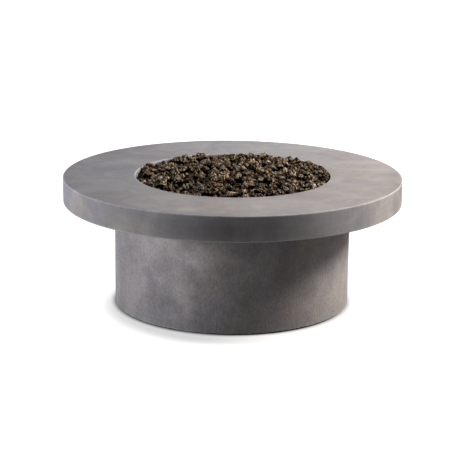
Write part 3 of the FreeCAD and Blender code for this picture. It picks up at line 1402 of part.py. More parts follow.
def air_mixer():
    """A brass tube with windows that draw in air below the pan."""
    body = disc(MIXER_RADIUS, mixer_bottom, mixer_top)
    cuts = [disc(MIXER_RADIUS - MIXER_WALL, mixer_bottom + MIXER_CAP, mixer_top - MIXER_CAP)]
    cuts.append(disc(NIPPLE_RADIUS + RUNNING_GAP, mixer_top - MIXER_CAP - OVER, mixer_top + OVER))
    wide, tall = MIXER_WINDOW
    middle = (mixer_bottom + mixer_top) / 2
    reach = MIXER_RADIUS + OVER
    for angle in (0.0, 90.0):
        window = box(-wide / 2, wide / 2, -reach, reach, middle - tall / 2, middle + tall / 2)
        cuts.append(turned(window, angle))
    return body.cut(Part.makeCompound(cuts))


# Pilot


def pilot_shield():
    """A slotted steel cap that keeps the rocks off the pilot."""
    y = pilot_radius
    top = pan_floor + PILOT_SHIELD_HEIGHT
    cap = disc(PILOT_SHIELD_RADIUS, pan_floor, top, y=y)
    cap = cap.makeFillet(PILOT_SHIELD_ROUND, [cap.Edges[0]])
    inside = disc(PILOT_SHIELD_RADIUS - PILOT_SHIELD_WALL, pan_floor, top - PILOT_SHIELD_WALL, y=y)
    inside = inside.makeFillet(PILOT_SHIELD_ROUND - PILOT_SHIELD_WALL, [inside.Edges[0]])
    cap = cap.cut(inside)
    slots = []
    wide, tall = PILOT_SLOT
    middle = pan_floor + PILOT_SHIELD_HEIGHT / 2
    for k in range(PILOT_SLOT_COUNT):
        slot = box(
            -wide / 2,
            wide / 2,
            PILOT_SHIELD_RADIUS / 2,
            PILOT_SHIELD_RADIUS + OVER,
            middle - tall / 2,
            middle + tall / 2,
        )
        slot = turned(slot, 90 + 360.0 * k / PILOT_SLOT_COUNT)
        slot.translate(Vector(0, y, 0))
        slots.append(slot)
    return turned(cap.cut(Part.makeCompound(slots)), PANEL_ANGLE)


def pilot_bracket():
    """The small table that holds the pilot, sensor and spark rod above the pan's floor."""
    y = pilot_radius
    wide, deep, sheet = PILOT_PLATE
    lift = pan_floor + PILOT_PLATE_LIFT
    half = wide / 2
    plate = box(-half, half, y - deep / 2, y + deep / 2, lift - sheet, lift)
    for side in (-1, 1):
        x0, x1 = sorted((side * half, side * (half - sheet)))
        plate = plate.fuse(box(x0, x1, y - deep / 2, y + deep / 2, pan_floor, lift))
    plate = turned(plate.removeSplitter(), PANEL_ANGLE)
    return plate.cut(Part.makeCompound(line_holes(LOOSE_GAP, lift - sheet - OVER, lift + OVER)))


def pilot_head():
    """The pilot's burner on the end of its tube, open to one side."""
    lift = pan_floor + PILOT_PLATE_LIFT
    x, y = pilot_places()[0], pilot_radius
    head = disc(PILOT_HEAD_RADIUS, lift, lift + PILOT_HEAD_HEIGHT, x, y)
    top = lift + PILOT_HEAD_HEIGHT - PILOT_MOUTH_DOWN
    wide, tall = PILOT_MOUTH
    mouth = box(x, x + PILOT_HEAD_RADIUS + OVER, y - wide / 2, y + wide / 2, top - tall, top)
    return turned(head.cut(mouth), PANEL_ANGLE)


def flame_sensor():
    lift = pan_floor + PILOT_PLATE_LIFT
    x, y = pilot_places()[1], pilot_radius
    probe = disc(PROBE_RADIUS, lift, lift + PROBE_HEIGHT, x, y)
    return turned(probe.makeFillet(PROBE_ROUND, [probe.Edges[0]]), PANEL_ANGLE)


def spark_electrode():
    """A ceramic insulator with a thin rod."""
    lift = pan_floor + PILOT_PLATE_LIFT
    x, y = pilot_places()[2], pilot_radius
    body = disc(ELECTRODE_RADIUS, lift, lift + ELECTRODE_HEIGHT, x, y)
    top = lift + ELECTRODE_HEIGHT
    rod = disc(SPARK_ROD_RADIUS, top, top + SPARK_ROD_HEIGHT, x, y)
    return turned(body.fuse(rod).removeSplitter(), PANEL_ANGLE)


# Lava rock


def bed_height(x, y):
    """The bed's upper face over a point: a shallow dome, higher at one side."""
    return dome_z + math.sqrt(dome_radius**2 - (x - dome_x) ** 2 - (y - dome_y) ** 2)


def lava_bed():
    """The mass of rock in the pan and over its flange, cut round the burner and the pilot."""
    low = pan_floor + BED_GAP / 2
    flange = pan_flange_top + BED_GAP / 2
    high = TABLE_HEIGHT
    core = disc(pan_inner - BED_GAP, low, high)
    core = core.makeFillet(PAN_ROUND, [core.Edges[2]])
    bed = core.fuse(disc(bed_radius, flange, high))
    bed = bed.common(Part.makeSphere(dome_radius, Vector(dome_x, dome_y, dome_z)))
    room = BED_GAP / 2
    cuts = [
        torus(OUTER_RING_RADIUS, BURNER_TUBE_RADIUS + room),
        torus(INNER_RING_RADIUS, BURNER_TUBE_RADIUS + room),
        disc(HUB_RADIUS + room, pan_floor, hub_top + room),
    ]
    reach = OUTER_RING_RADIUS
    spoke = outwards(SPOKE_RADIUS + room, 0, burner_z, HUB_RADIUS - OVER, reach)
    cuts += all_round(spoke, SPOKE_COUNT, SPOKE_FIRST_ANGLE)
    half = SUPPORT_SIZE / 2 + room
    post = box(-half, half, reach - half, reach + half, pan_floor, burner_z)
    cuts += all_round(post, SUPPORT_COUNT, SPOKE_FIRST_ANGLE + 180.0 / SUPPORT_COUNT)
    cap = disc(
        PILOT_SHIELD_RADIUS + room, pan_floor, pan_floor + PILOT_SHIELD_HEIGHT + room, y=pilot_radius
    )
    cuts.append(turned(cap, PANEL_ANGLE))
    for cut in cuts:
        bed = bed.cut(cut)
    return bed


def rock_directions(count, rng):
    """Directions spread evenly over a sphere, turned by a random amount."""
    turn = rng.uniform(0, 2 * math.pi)
    golden = math.pi * (3 - math.sqrt(5))
    directions = []
    for k in range(count):
        up = 1 - 2 * (k + 0.5) / count
        flat = math.sqrt(1 - up * up)
        a = turn + golden * k
        directions.append(Vector(flat * math.cos(a), flat * math.sin(a), up))
    return directions


def clipped(faces, normal, offset):
    """Faces of a convex solid cut back to normal . point <= offset, the cut closed by a new face."""
    kept = []
    rim = {}
    for face in faces:
        out = []
        for k in range(len(face)):
            a, b = face[k - 1], face[k]
            da, db = a.dot(normal) - offset, b.dot(normal) - offset
            if da * db < 0:
                p = a + (b - a) * (da / (da - db))
                out.append(p)
                rim[tuple(round(v, 5) for v in p)] = p
            if db <= 0:
                out.append(b)
        if len(out) > 2:
            kept.append(out)
    if len(rim) < 3:
        return kept
    points = list(rim.values())
    centre = Vector(0, 0, 0)
    for p in points:
        centre += p
    centre *= 1.0 / len(points)
    across = points[0] - centre
    across.normalize()
    along = normal.cross(across)
    points.sort(key=lambda p: math.atan2((p - centre).dot(along), (p - centre).dot(across)))
    kept.append(points)
    return kept


def block_faces(centre, half):
    """The six faces of a cube, each turning the same way about its outward normal."""
    faces = []
    axes = (Vector(1, 0, 0), Vector(0, 1, 0), Vector(0, 0, 1))
    for k in range(3):
        n, u, v = axes[k], axes[(k + 1) % 3], axes[(k + 2) % 3]
        for side in (1, -1):
            corners = [(1, 1), (-1, 1), (-1, -1), (1, -1)]
            if side < 0:
                corners.reverse()
            faces.append([centre + (n * side + u * a + v * b) * half for a, b in corners])
    return faces


def rock_size(radius, rng):
    return radius * (1 + rng.uniform(-ROCK_SPREAD, ROCK_SPREAD))


def crown_fits(x, y):
    """Whether a rock on top of the others may lie here: nearer to the wall where they are heaped."""
    towards = math.cos(math.atan2(y, x) - math.radians(BED_TILT_ANGLE))
    share = (1 - towards) / 2
    clear = CROWN_CLEAR_OF_WALL + (CROWN_CLEAR_FAR_SIDE - CROWN_CLEAR_OF_WALL) * share
    return math.hypot(x, y) < opening_radius - clear


def rock_seeds(rng):
    """(middle, radius) of each rock: one layer over the bed, and more in some of its hollows."""
    layer = []
    crown = []

    def lay(x, y, radius):
        layer.append((Vector(x, y, bed_height(x, y) + radius * ROCK_SINK), radius))

    by_wall = opening_radius - ROCK_WALL_GAP - ROCK_RADIUS * ROCK_AT_WALL
    count = round(2 * math.pi * by_wall / ROCK_SPACING)
    for k in range(count):
        a = 2 * math.pi * (k + rng.uniform(-ROCK_WALL_JITTER, ROCK_WALL_JITTER)) / count
        out = by_wall - rng.uniform(0, ROCK_JITTER)
        lay(out * math.cos(a), out * math.sin(a), rock_size(ROCK_RADIUS, rng))
    limit = by_wall - ROCK_SPACING * ROCK_ROW_GAP
    row = ROCK_SPACING * math.sqrt(3) / 2
    rows = int(limit / row) + 1
    for j in range(-rows, rows + 1):
        for i in range(-rows - 2, rows + 3):
            shift = 0.5 if j % 2 else 0.0
            x = (i + shift) * ROCK_SPACING + rng.uniform(-ROCK_JITTER, ROCK_JITTER)
            y = j * row + rng.uniform(-ROCK_JITTER, ROCK_JITTER)
            radius = rock_size(ROCK_RADIUS, rng)
            wanted = rng.random() < CROWN_SHARE
            size = rock_size(CROWN_RADIUS, rng)
            if math.hypot(x, y) < limit:
                lay(x, y, radius)
            cx, cy = (i + shift + 0.5) * ROCK_SPACING, (j + 1 / 3) * row
            if wanted and crown_fits(cx, cy):
                z = bed_height(cx, cy) + ROCK_RADIUS * ROCK_SINK + CROWN_LIFT
                crown.append((Vector(cx, cy, z), size))
    return layer, crown


def rock_solid(k, seeds, rng):
    """One rock: a block cut by its neighbours' half-way planes, the bed, the wall and some facets."""
    middle, radius = seeds[k]
    faces = block_faces(middle, radius * ROCK_REACH)
    touching = []
    for n, (other, size) in enumerate(seeds):
        away = other - middle
        far = away.Length
        if n == k or far > (radius + size) * ROCK_NEIGHBOUR:
            continue
        away.normalize()
        reach = (far * far + radius * radius - size * size) / (2 * far) - ROCK_GAP / 2
        faces = clipped(faces, away, away.dot(middle) + reach)
        if far < radius + size and reach < radius * ROCK_TOUCH:
            touching.append(away)
    out = Vector(middle.x, middle.y, 0)
    wall = opening_radius - ROCK_WALL_GAP
    if out.Length > wall - radius * ROCK_REACH:
        out.normalize()
        for turn in (-ROCK_WALL_TURN, 0, ROCK_WALL_TURN):
            a = math.atan2(out.y, out.x) + math.radians(turn)
            faces = clipped(faces, Vector(math.cos(a), math.sin(a), 0), wall)
    foot = Vector(middle.x, middle.y, bed_height(middle.x, middle.y))
    down = Vector(dome_x, dome_y, dome_z) - foot
    down.normalize()
    faces = clipped(faces, down, down.dot(foot) - BED_CLEARANCE)
    for direction in rock_directions(ROCK_FACETS, rng):
        reach = radius * rng.uniform(ROCK_LEAST, 1.0)
        beside = all(direction.dot(t) < ROCK_TOUCH_SPAN for t in touching)
        if beside and direction.dot(down) < ROCK_FOOT_SPAN:
            faces = clipped(faces, direction, direction.dot(middle) + reach)
    shell = Part.makeShell([Part.Face(Part.makePolygon(f + [f[0]])) for f in faces])
    shell.sewShape()
    solid = Part.Solid(shell)
    if solid.Volume < 0:
        solid.reverse()
    return solid


def lava_rocks():
    """The rocks of the layer, and the rocks on top of it, as two lists of solids."""
    rng = random.Random(ROCK_SEED)
    layer, crown = rock_seeds(rng)
    seeds = layer + crown
    solids = [rock_solid(k, seeds, rng) for k in range(len(seeds))]
    print(f"rocks: {len(layer)} in the layer, {len(crown)} on top")
    return solids[: len(layer)], solids[len(layer) :]


def save(name, shapes):
    """Writes one node. A list of shapes becomes one file of separate solids."""
    if isinstance(shapes, list):
        shapes = Part.makeCompound([s for shape in shapes for s in shape.Solids])
    solids = shapes.Solids
    if not solids or not all(s.isValid() and s.Volume > 0 for s in solids):
        raise SystemExit(f"{name} has a solid that is missing or not valid")
    shapes = solids[0] if len(solids) == 1 else Part.makeCompound(solids)
    shapes.exportStep(os.path.join("parts", name + ".step"))
    print(f"{name}: {len(solids)} solids, {sum(s.Volume for s in solids) / 1000:.1f} cm3")


def main():
    os.makedirs("parts", exist_ok=True)
    layer, crown = lava_rocks()
    save("table_top", table_top())
    save("base_drum", base_drum())
    save("foot_pads", foot_pads())
    save("seat_pads", seat_pads())
    save("top_brackets", top_brackets())
    save("bracket_bolts", bracket_bolts())
    save("concrete_inserts", concrete_inserts())
    save("access_door", access_door())
    save("door_hinge_pins", door_hinge_pins())
    save("door_hinge_bushes", door_hinge_bushes())
    save("door_thrust_washer", door_thrust_washer())
    save("door_pull", door_pull())
    save("door_pull_nut", door_pull_nut())
    save("door_catch", door_catch())
    save("door_strike", door_strike())
    save("vent_grilles", vent_grilles())
    save("control_panel", control_panel())
    save("plate_screws", plate_screws())
    save("gas_control_valve", gas_control_valve())
    save("valve_nose_nut", valve_nose_nut())
    save("valve_stem", valve_stem())
    save("stem_washer", stem_washer())
    save("control_knob", control_knob())
    save("igniter_housing", igniter_housing())
    save("igniter_nut", igniter_nut())
    save("igniter_button", igniter_button())
    save("shutoff_valve", shutoff_valve())
    save("shutoff_stem", shutoff_stem())
    save("shutoff_lever", shutoff_lever())
    save("lever_grip", lever_grip())
    save("lever_nut", lever_nut())
    save("gas_inlet", gas_inlet())
    save("inlet_locknut", inlet_locknut())
    save("inlet_elbow", inlet_elbow())
    save("supply_hose", supply_hose())
    save("burner_hose", burner_hose())
    save("pilot_tube", pilot_tube())
    save("sensor_lead", sensor_lead())
    save("spark_lead", spark_lead())
    save("hose_fittings", hose_fittings())
    save("hose_clips", hose_clips())
    save("clip_screws", clip_screws())
    save("pan_gasket", pan_gasket())
    save("burner_pan", burner_pan())
    save("burner_outer_ring", burner_ring(OUTER_RING_RADIUS, OUTER_PORT_COUNT))
    save("burner_inner_ring", burner_ring(INNER_RING_RADIUS, INNER_PORT_COUNT))
    save("burner_spokes", burner_spokes())
    save("burner_hub", burner_hub())
    save("burner_supports", burner_supports())
    save("hub_nipple", hub_nipple())
    save("pan_nuts", pan_nuts())
    save("air_mixer", air_mixer())
    save("pilot_shield", pilot_shield())
    save("pilot_bracket", pilot_bracket())
    save("pilot_head", pilot_head())
    save("flame_sensor", flame_sensor())
    save("spark_electrode", spark_electrode())
    save("lava_bed", lava_bed())
    save("lava_rocks", layer)
    save("lava_rocks_top", crown)


main()
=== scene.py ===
import itertools
import json
import math
import random

import bmesh
import bpy
import numpy as np
from mathutils import Matrix, Vector
from mathutils.bvhtree import BVHTree

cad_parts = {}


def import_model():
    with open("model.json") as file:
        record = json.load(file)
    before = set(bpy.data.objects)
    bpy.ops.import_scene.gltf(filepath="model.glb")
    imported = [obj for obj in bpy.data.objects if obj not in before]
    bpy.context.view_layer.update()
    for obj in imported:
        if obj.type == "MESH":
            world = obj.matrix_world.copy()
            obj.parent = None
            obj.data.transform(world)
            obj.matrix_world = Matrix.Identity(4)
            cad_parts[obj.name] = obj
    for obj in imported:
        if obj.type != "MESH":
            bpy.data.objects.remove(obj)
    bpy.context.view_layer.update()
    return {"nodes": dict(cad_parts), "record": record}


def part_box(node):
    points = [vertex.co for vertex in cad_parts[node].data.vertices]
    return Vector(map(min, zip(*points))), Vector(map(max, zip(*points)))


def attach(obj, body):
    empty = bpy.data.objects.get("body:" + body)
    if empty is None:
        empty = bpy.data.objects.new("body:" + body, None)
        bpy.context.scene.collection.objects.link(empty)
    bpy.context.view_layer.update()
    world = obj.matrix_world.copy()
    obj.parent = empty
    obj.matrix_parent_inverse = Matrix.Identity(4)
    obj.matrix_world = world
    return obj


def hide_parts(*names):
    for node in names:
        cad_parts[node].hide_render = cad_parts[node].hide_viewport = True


# Looks of a round gas fire pit table: cast concrete, a bed of lava rock, and metal gas parts.
# Metres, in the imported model's frame. The plain front is at -Y and the service side at +Y.

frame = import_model()
ROOT = "fire_pit"
MM = 0.001

# Camera, from the photograph's perspective
IMAGE_SIDE = 460
SENSOR = 36.0
FOCAL_PIXELS = 1559.8
PITCH = 14.94
ROLL = 0.60
DISTANCE = 5.682
LOOK_AT_HEIGHT = 0.2564
CENTRE_OFFSET = (2.16, 1.0)  # pixels right and down, from the picture's middle to the lens axis

# Light: azimuth from the camera's side towards +X, elevation, size, power, colour
LAMPS = {
    "key_right": (90, 36, 0.9, 141.0, (1.0, 0.97, 0.92)),
    "right_low": (109, 20, 0.9, 14.0, (1.0, 0.88, 0.82)),
    "side_left": (-78, 6, 0.9, 64.0, (0.985, 0.97, 0.99)),
    "front_left": (-48, 6, 0.9, 10.0, (1.0, 1.0, 1.0)),
    "overhead": (0, 80, 0.9, 4.0, (0.90, 0.94, 1.0)),
    "back": (175, 8, 1.2, 30.0, (1.0, 0.98, 0.96)),
}
LAMP_DISTANCE = 3.4
LAMP_AIM = Vector((0, 0, 0.3))
AMBIENT = (0.90, 0.95, 1.0)
AMBIENT_STRENGTH = 0.01

# Floor
FLOOR_SIDE = 40.0
FLOOR_SEEN = (0.45, 0.45, 0.45)
FLOOR_BOUNCE = (0.25, 0.25, 0.25)
FLOOR_GLOW = 0.58
FLOOR_UNDER = (0.416, 0.446)  # how far out the floor is dark under the drum, and has its full glow
FLOOR_WHITE = (0.435, 0.525)  # how far out the glow begins to rise, and is white
SHADOW_CENTRE = (0.024, -0.052)  # what the glow's rise goes round

# Rocks: their meshes
ROCK_SEED = 7
ROCK_STEPS = 14  # quads along each side of the cube that a rock is blown up from
FILL_STEPS = 6
LAYER_PIECES = 8
CROWN_PIECES = 2
FILL_PIECES = 4
UV_MARGIN = 0.04
MERGE = 0.00002
LEAST_FACET = 0.5e-6  # square metres

# Rocks: one rock. Its sizes are shares of its cell, the space that its CAD stone fills
ROUNDING = 20.0  # the higher, the sharper its flats meet
CHIPS = 8
CHIP_DEPTH = (0.62, 1.0)
ROCK_SIZES = (0.84, 1.45)  # smaller ones are the commoner
ROCK_STRETCH = 0.16
STRETCH_EVEN = 0.4  # how much of the stretch is taken off all round
ROCK_TALLER = 1.15
ROCK_PROUD = 0.012  # metres that a rock stands up for each whole size above 1
ROCK_JITTER = 0.0060  # metres up or down
CRAG_SHARE = (0.6, 1.1)  # how much of the crags' depth a rock gets

# Rocks: their crags. Scales are for a rock of the usual reach, and depths are shares of its reach
USUAL_REACH = 0.018
SWELL_SCALE = 1.35
CREASE_SCALE = 1.9
CHIP_SCALE = 4.6
PIT_SCALE = 2.8
PIT_RADIUS = 0.45
SWELL_DEEP = 0.20
CREASE_DEEP = 0.20
CHIP_DEEP = 0.10
PIT_DEEP = 0.20
DEEPEST = 0.50
# Painted shade in a rock's creases, chips and pits, and low on its sides and underneath, where rocks shade
# one another
CREASE_PAINTED_SHADE = 0.75
CHIP_PAINTED_SHADE = 0.60
PIT_PAINTED_SHADE = 1.3
UNDERSIDE_PAINTED_SHADE = 0.60  # painted shade on an upright side, where rocks shade one another; the top is clear of it, and the underside is all in painted shade
UNDERSIDE_SHADE_SLOPE = 2.3

# Rocks: share of them, and colour
TONES = [
    (0.34, (0.172, 0.126, 0.092)),
    (0.28, (0.092, 0.066, 0.049)),
    (0.18, (0.290, 0.220, 0.152)),
    (0.12, (0.215, 0.182, 0.148)),
    (0.08, (0.190, 0.124, 0.090)),
]
TONE_SPREAD = (0.75, 1.25)

# Rocks: the heap in the opening
WALL_GAP = 0.0008
ROCKS_RISE = 0.010  # at the wall, on the side that the heap leans to most
ROCKS_LARGER = 0.30  # there too
LEANS = ((math.radians(25), 1.0), (math.radians(172), 0.25))  # ways that the heap leans, and how much
HEAP_CLEAR = 0.0005
HEAP_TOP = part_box("lava_rocks_top")[1].z - HEAP_CLEAR
HEAP_FALL = 0.014  # how much lower than that a rock's top is kept at the wall

# Small stones on the bed, and caught between rocks
FILL_SALT = 5000
FILL_TRIES = 5000
FILL_FROM_ROCKS = 0.0145
FILL_FROM_WALL = 0.002
FILL_APART = 0.0100
FILL_RADII = (0.0045, 0.0075)
FILL_LIFT = 0.55
FILL_SQUAT = (0.65, 1.0)
# the small stones' tones are darkened to this share: painted shade of the gaps they sit in
FILL_PAINTED_SHADE = 0.35
CAUGHT_ROOM = 0.0065
CAUGHT_MOST = 0.0115
CAUGHT_SIZES = (0.85, 1.2)
CAUGHT_HEIGHTS = (-0.007, 0.003)


# Node trees


def rgba(colour):
    return (*colour, 1.0)


class Graph:
    """A material's nodes, with one short call for each kind that the finishes need."""

    def __init__(self, name):
        self.material = bpy.data.materials.new(name)
        self.material.use_nodes = True
        self.tree = self.material.node_tree
        self.shader = self.tree.nodes["Principled BSDF"]
        self.place = self.add("TexCoord").outputs["Object"]

    def put(self, socket, value):
        if isinstance(value, bpy.types.NodeSocket):
            self.tree.links.new(value, socket)
        else:
            socket.default_value = value

    def add(self, kind, inputs=None, **settings):
        node = self.tree.nodes.new("ShaderNode" + kind)
        for key, value in settings.items():
            setattr(node, key, value)
        for key, value in (inputs or {}).items():
            self.put(node.inputs[key], value)
        return node

    def set(self, **values):
        """Sets the shader's own inputs, named with underscores for spaces."""
        for key, value in values.items():
            self.put(self.shader.inputs[key.replace("_", " ")], value)
        return self.material

    def stretched(self, scale):
        return self.add("Mapping", {"Vector": self.place, "Scale": scale}).outputs[0]

    def noise(self, scale, detail=2.0, roughness=0.5, distortion=0.0, place=None):
        inputs = {
            "Vector": place or self.place,
            "Scale": scale,
            "Detail": detail,
            "Roughness": roughness,
            "Distortion": distortion,
        }
        return self.add("TexNoise", inputs).outputs[0]

    def cells(self, scale):
        """Distance to the nearest of scattered points."""
        return self.add("TexVoronoi", {"Vector": self.place, "Scale": scale}).outputs["Distance"]

    def fit(self, value, low, high, to_low=0.0, to_high=1.0, smooth=True):
        inputs = {"Value": value, "From Min": low, "From Max": high, "To Min": to_low, "To Max": to_high}
        kind = "SMOOTHSTEP" if smooth else "LINEAR"
        return self.add("MapRange", inputs, interpolation_type=kind).outputs[0]

    def calc(self, operation, a, b=0.0):
        return self.add("Math", {0: a, 1: b}, operation=operation).outputs[0]

    def mix(self, factor, a, b, blend="MIX"):
        node = self.add("Mix", data_type="RGBA", blend_type=blend, clamp_factor=True)
        self.put(node.inputs[0], factor)
        self.put(node.inputs[6], a if isinstance(a, bpy.types.NodeSocket) else rgba(a))
        self.put(node.inputs[7], b if isinstance(b, bpy.types.NodeSocket) else rgba(b))
        return node.outputs[2]

    def shaded(self, colour, value, low, high):
        """The colour times a factor that goes from low to high as the value goes from 0 to 1."""
        factor = self.fit(value, 0.0, 1.0, low, high, smooth=False)
        grey = self.add("CombineColor", {0: factor, 1: factor, 2: factor}).outputs[0]
        return self.mix(1.0, colour, grey, "MULTIPLY")

    def bump(self, height, distance, strength=1.0, under=None):
        inputs = {"Height": height, "Distance": distance, "Strength": strength}
        if under:
            inputs["Normal"] = under
        return self.add("Bump", inputs).outputs[0]

    def axes(self):
        return self.add("SeparateXYZ", {0: self.place}).outputs

    def radius(self, centre=(0.0, 0.0)):
        """Distance from an upright line: the table's axis, or another."""
        x, y = (self.calc("SUBTRACT", value, middle) for value, middle in zip(self.axes(), centre))
        return self.calc("SQRT", self.calc("ADD", self.calc("MULTIPLY", x, x), self.calc("MULTIPLY", y, y)))


# Concrete

SPECK_SCALE = (170, 170, 95)
# Random stains, and a painted tint of warm light on the +X side and cool light on the -X side
WARM_STAIN_AND_LIGHT = (1.065, 0.995, 0.940)
COOL_STAIN_AND_LIGHT = (0.955, 0.980, 1.060)
PATCH_RAGGED = 1.3
PINHOLE_SCALE = 115.0
PINHOLE_PAINTED_SHADE = 0.55
PINHOLE_DEPTH = 0.0006
# Edges: paler for wear, and a painted highlight along them
WEAR_AND_HIGHLIGHT_WIDTH = 0.0065
WEAR_AND_HIGHLIGHT_PALE = 1.75
CLOUD_RELIEF = 0.0012
GRAIN_RELIEF = 0.00022
WHITE = (1.0, 1.0, 1.0)


def edge_wear_and_highlight(g, edges, width):
    """1 along each rounded edge, given as its radius, height and whether solid lies inside the radius:
    where edges are made paler, for wear and as a painted highlight.
    """
    radius = g.radius()
    height = g.axes()[2]
    wear_and_highlight = 0.0
    for edge_radius, edge_height, outer, upper in edges:
        side = -1 if outer else 1
        drop = -1 if upper else 1
        near_radius = g.fit(radius, edge_radius + side * width, edge_radius)
        near_height = g.fit(height, edge_height + drop * width, edge_height)
        wear_and_highlight = g.calc("MAXIMUM", wear_and_highlight, g.calc("MULTIPLY", near_radius, near_height))
    return wear_and_highlight


def blend_of(g, parts):
    """The weighted sum of (value, weight) pairs."""
    total = 0.0
    for value, weight in parts:
        total = g.calc("ADD", total, g.calc("MULTIPLY", value, weight))
    return total


def patch(g, centre, spread):
    """1 at a place on the object, fading to 0 at its spread along each axis, with a ragged edge."""
    away = 0.0
    for place, middle, reach in zip(g.axes(), centre, spread):
        step = g.calc("DIVIDE", g.calc("SUBTRACT", place, middle), reach)
        away = g.calc("ADD", away, g.calc("MULTIPLY", step, step))
    ragged = g.calc("MULTIPLY", g.calc("SUBTRACT", g.noise(9.0, 4.0, 0.5, 0.6), 0.5), PATCH_RAGGED)
    return g.fit(g.calc("ADD", g.calc("SQRT", away), ragged), 1.0, 0.1)


def concrete(name, dark, light, edges, sweep, brush, fleck, relief, painted_light_drift, patches):
    """Troweled cast concrete: clouds, sweeps of the trowel, grain, pinholes with painted shade, paler worn
    edges with a painted highlight, and tinted patches, most of them painted light and shade.

    sweep and brush are the scales of the trowel's marks along each axis, fleck is how much the
    specks stand out and relief how deep they are. painted_light_drift is how fast the colour cools
    towards -X, painted warm light on the +X side and cool light on the -X side, the X where it is even,
    and half the span that the change from warm to cool is spread over.
    """
    g = Graph(name)
    cloud = g.noise(5.0, 6.0, 0.58, 1.2)
    broad = g.noise(1.7, 3.0, 0.5, 1.6)
    blotch = g.noise(15.0, 5.0, 0.60, 0.8)
    swept = g.noise(1.0, 5.0, 0.6, 0.8, g.stretched(sweep))
    brushed = g.noise(1.0, 4.0, 0.65, 0.3, g.stretched(brush))
    grain = g.noise(420.0, 3.0, 0.7)
    flecks = g.noise(170.0, 3.0, 0.65)
    tone = blend_of(g, [(cloud, 0.30), (broad, 0.24), (blotch, 0.18), (swept, 0.18), (brushed, 0.10)])
    colour = g.mix(g.fit(tone, 0.38, 0.62), dark, light)
    slope, middle, span = painted_light_drift
    # hue: random stains, and a slope along X that paints the warm and cool lights' tints
    hue = blend_of(g, [
        (g.noise(2.7, 3.0, 0.5, 1.0), 0.6),
        (g.noise(11.0, 4.0, 0.6, 1.0), 0.4),
        (g.calc("SUBTRACT", middle, g.axes()[0]), slope),
    ])
    stain_and_light = g.mix(g.fit(hue, 0.5 - span, 0.5 + span), WARM_STAIN_AND_LIGHT, COOL_STAIN_AND_LIGHT)
    colour = g.mix(1.0, colour, stain_and_light, "MULTIPLY")
    # each patch is multiplied in: paler cement, and painted light and painted shade
    for centre, spread, tint in patches:
        colour = g.mix(1.0, colour, g.mix(patch(g, centre, spread), WHITE, tint), "MULTIPLY")
    colour = g.shaded(colour, grain, 0.93, 1.07)
    colour = g.shaded(colour, g.fit(flecks, 0.30, 0.70), 1.0 - fleck, 1.0 + fleck)
    specks = g.noise(1.0, 4.0, 0.75, 0.0, g.stretched(SPECK_SCALE))
    colour = g.shaded(colour, g.fit(specks, 0.32, 0.68), 1.0 - 2 * fleck, 1.0 + 2 * fleck)
    holes = g.fit(g.cells(PINHOLE_SCALE), 0.10, 0.045)
    holes = g.calc("MULTIPLY", holes, g.fit(g.noise(23.0, 2.0), 0.56, 0.66))
    # painted shade in the pinholes
    colour = g.shaded(colour, holes, 1.0, PINHOLE_PAINTED_SHADE)
    # paler edges: wear, and a painted highlight along the eased edges
    wear_and_highlight = edge_wear_and_highlight(g, edges, WEAR_AND_HIGHLIGHT_WIDTH)
    wear_and_highlight = g.calc("MULTIPLY", wear_and_highlight, g.fit(g.noise(38.0, 4.0), 0.05, 0.55))
    colour = g.shaded(colour, wear_and_highlight, 1.0, WEAR_AND_HIGHLIGHT_PALE)
    normal = g.bump(cloud, CLOUD_RELIEF, 0.5)
    normal = g.bump(flecks, relief, 1.0, normal)
    normal = g.bump(brushed, relief, 0.6, normal)
    normal = g.bump(grain, GRAIN_RELIEF, 1.0, normal)
    normal = g.bump(g.calc("SUBTRACT", 1.0, holes), PINHOLE_DEPTH, 1.0, normal)
    rough = g.fit(swept, 0.3, 0.7, 0.62, 0.80)
    return g.set(Base_Color=colour, Roughness=rough, Normal=normal, Specular_IOR_Level=0.1)


# Metals


def metal(name, colour, tarnish, roughness, grain=(900, 900, 900), spots=0.0, scratch=0.00003):
    """Bare or plated metal: fine grain along one way, uneven polish and some tarnish."""
    g = Graph(name)
    lines = g.noise(1.0, 4.0, 0.6, 0.0, g.stretched(grain))
    cloud = g.noise(38.0, 5.0, 0.6, 0.4)
    dull = g.fit(cloud, 0.42, 0.68)
    base = g.mix(dull, colour, tarnish)
    base = g.shaded(base, lines, 0.90, 1.08)
    if spots:
        spot = g.calc("MULTIPLY", g.fit(g.cells(210.0), 0.22, 0.10), g.fit(g.noise(60.0), 0.5, 0.6))
        base = g.shaded(base, spot, 1.0, 1.0 - spots)
    uneven = g.calc("ADD", g.calc("MULTIPLY", lines, 0.5), g.calc("MULTIPLY", cloud, 0.5))
    polish = g.fit(uneven, 0.3, 0.7, *roughness)
    return g.set(Base_Color=base, Metallic=1.0, Roughness=polish, Normal=g.bump(lines, scratch))


def zinc(name):
    """Bright zinc plating with its faint crystal spangle and white bloom."""
    g = Graph(name)
    crystals = g.cells(240.0)
    bloom = g.fit(g.noise(70.0, 4.0, 0.6), 0.52, 0.70)
    base = g.mix(crystals, (0.56, 0.57, 0.58), (0.68, 0.69, 0.71))
    base = g.mix(bloom, base, (0.46, 0.47, 0.48))
    rough = g.fit(bloom, 0.0, 1.0, 0.32, 0.55)
    return g.set(Base_Color=base, Metallic=1.0, Roughness=rough, Normal=g.bump(crystals, 0.00004))


def ribbed_steel(name):
    """Corrugated stainless hose, heat-tinted a little, with dust in its folds."""
    g = Graph(name)
    tint = g.fit(g.noise(14.0, 3.0), 0.45, 0.7)
    base = g.mix(tint, (0.60, 0.59, 0.57), (0.50, 0.46, 0.40))
    base = g.shaded(base, g.noise(500.0, 3.0), 0.85, 1.1)
    return g.set(Base_Color=base, Metallic=1.0, Roughness=g.fit(tint, 0, 1, 0.26, 0.42))


# Plastics, rubber, ceramic and fibre

DUST = (0.30, 0.28, 0.26)


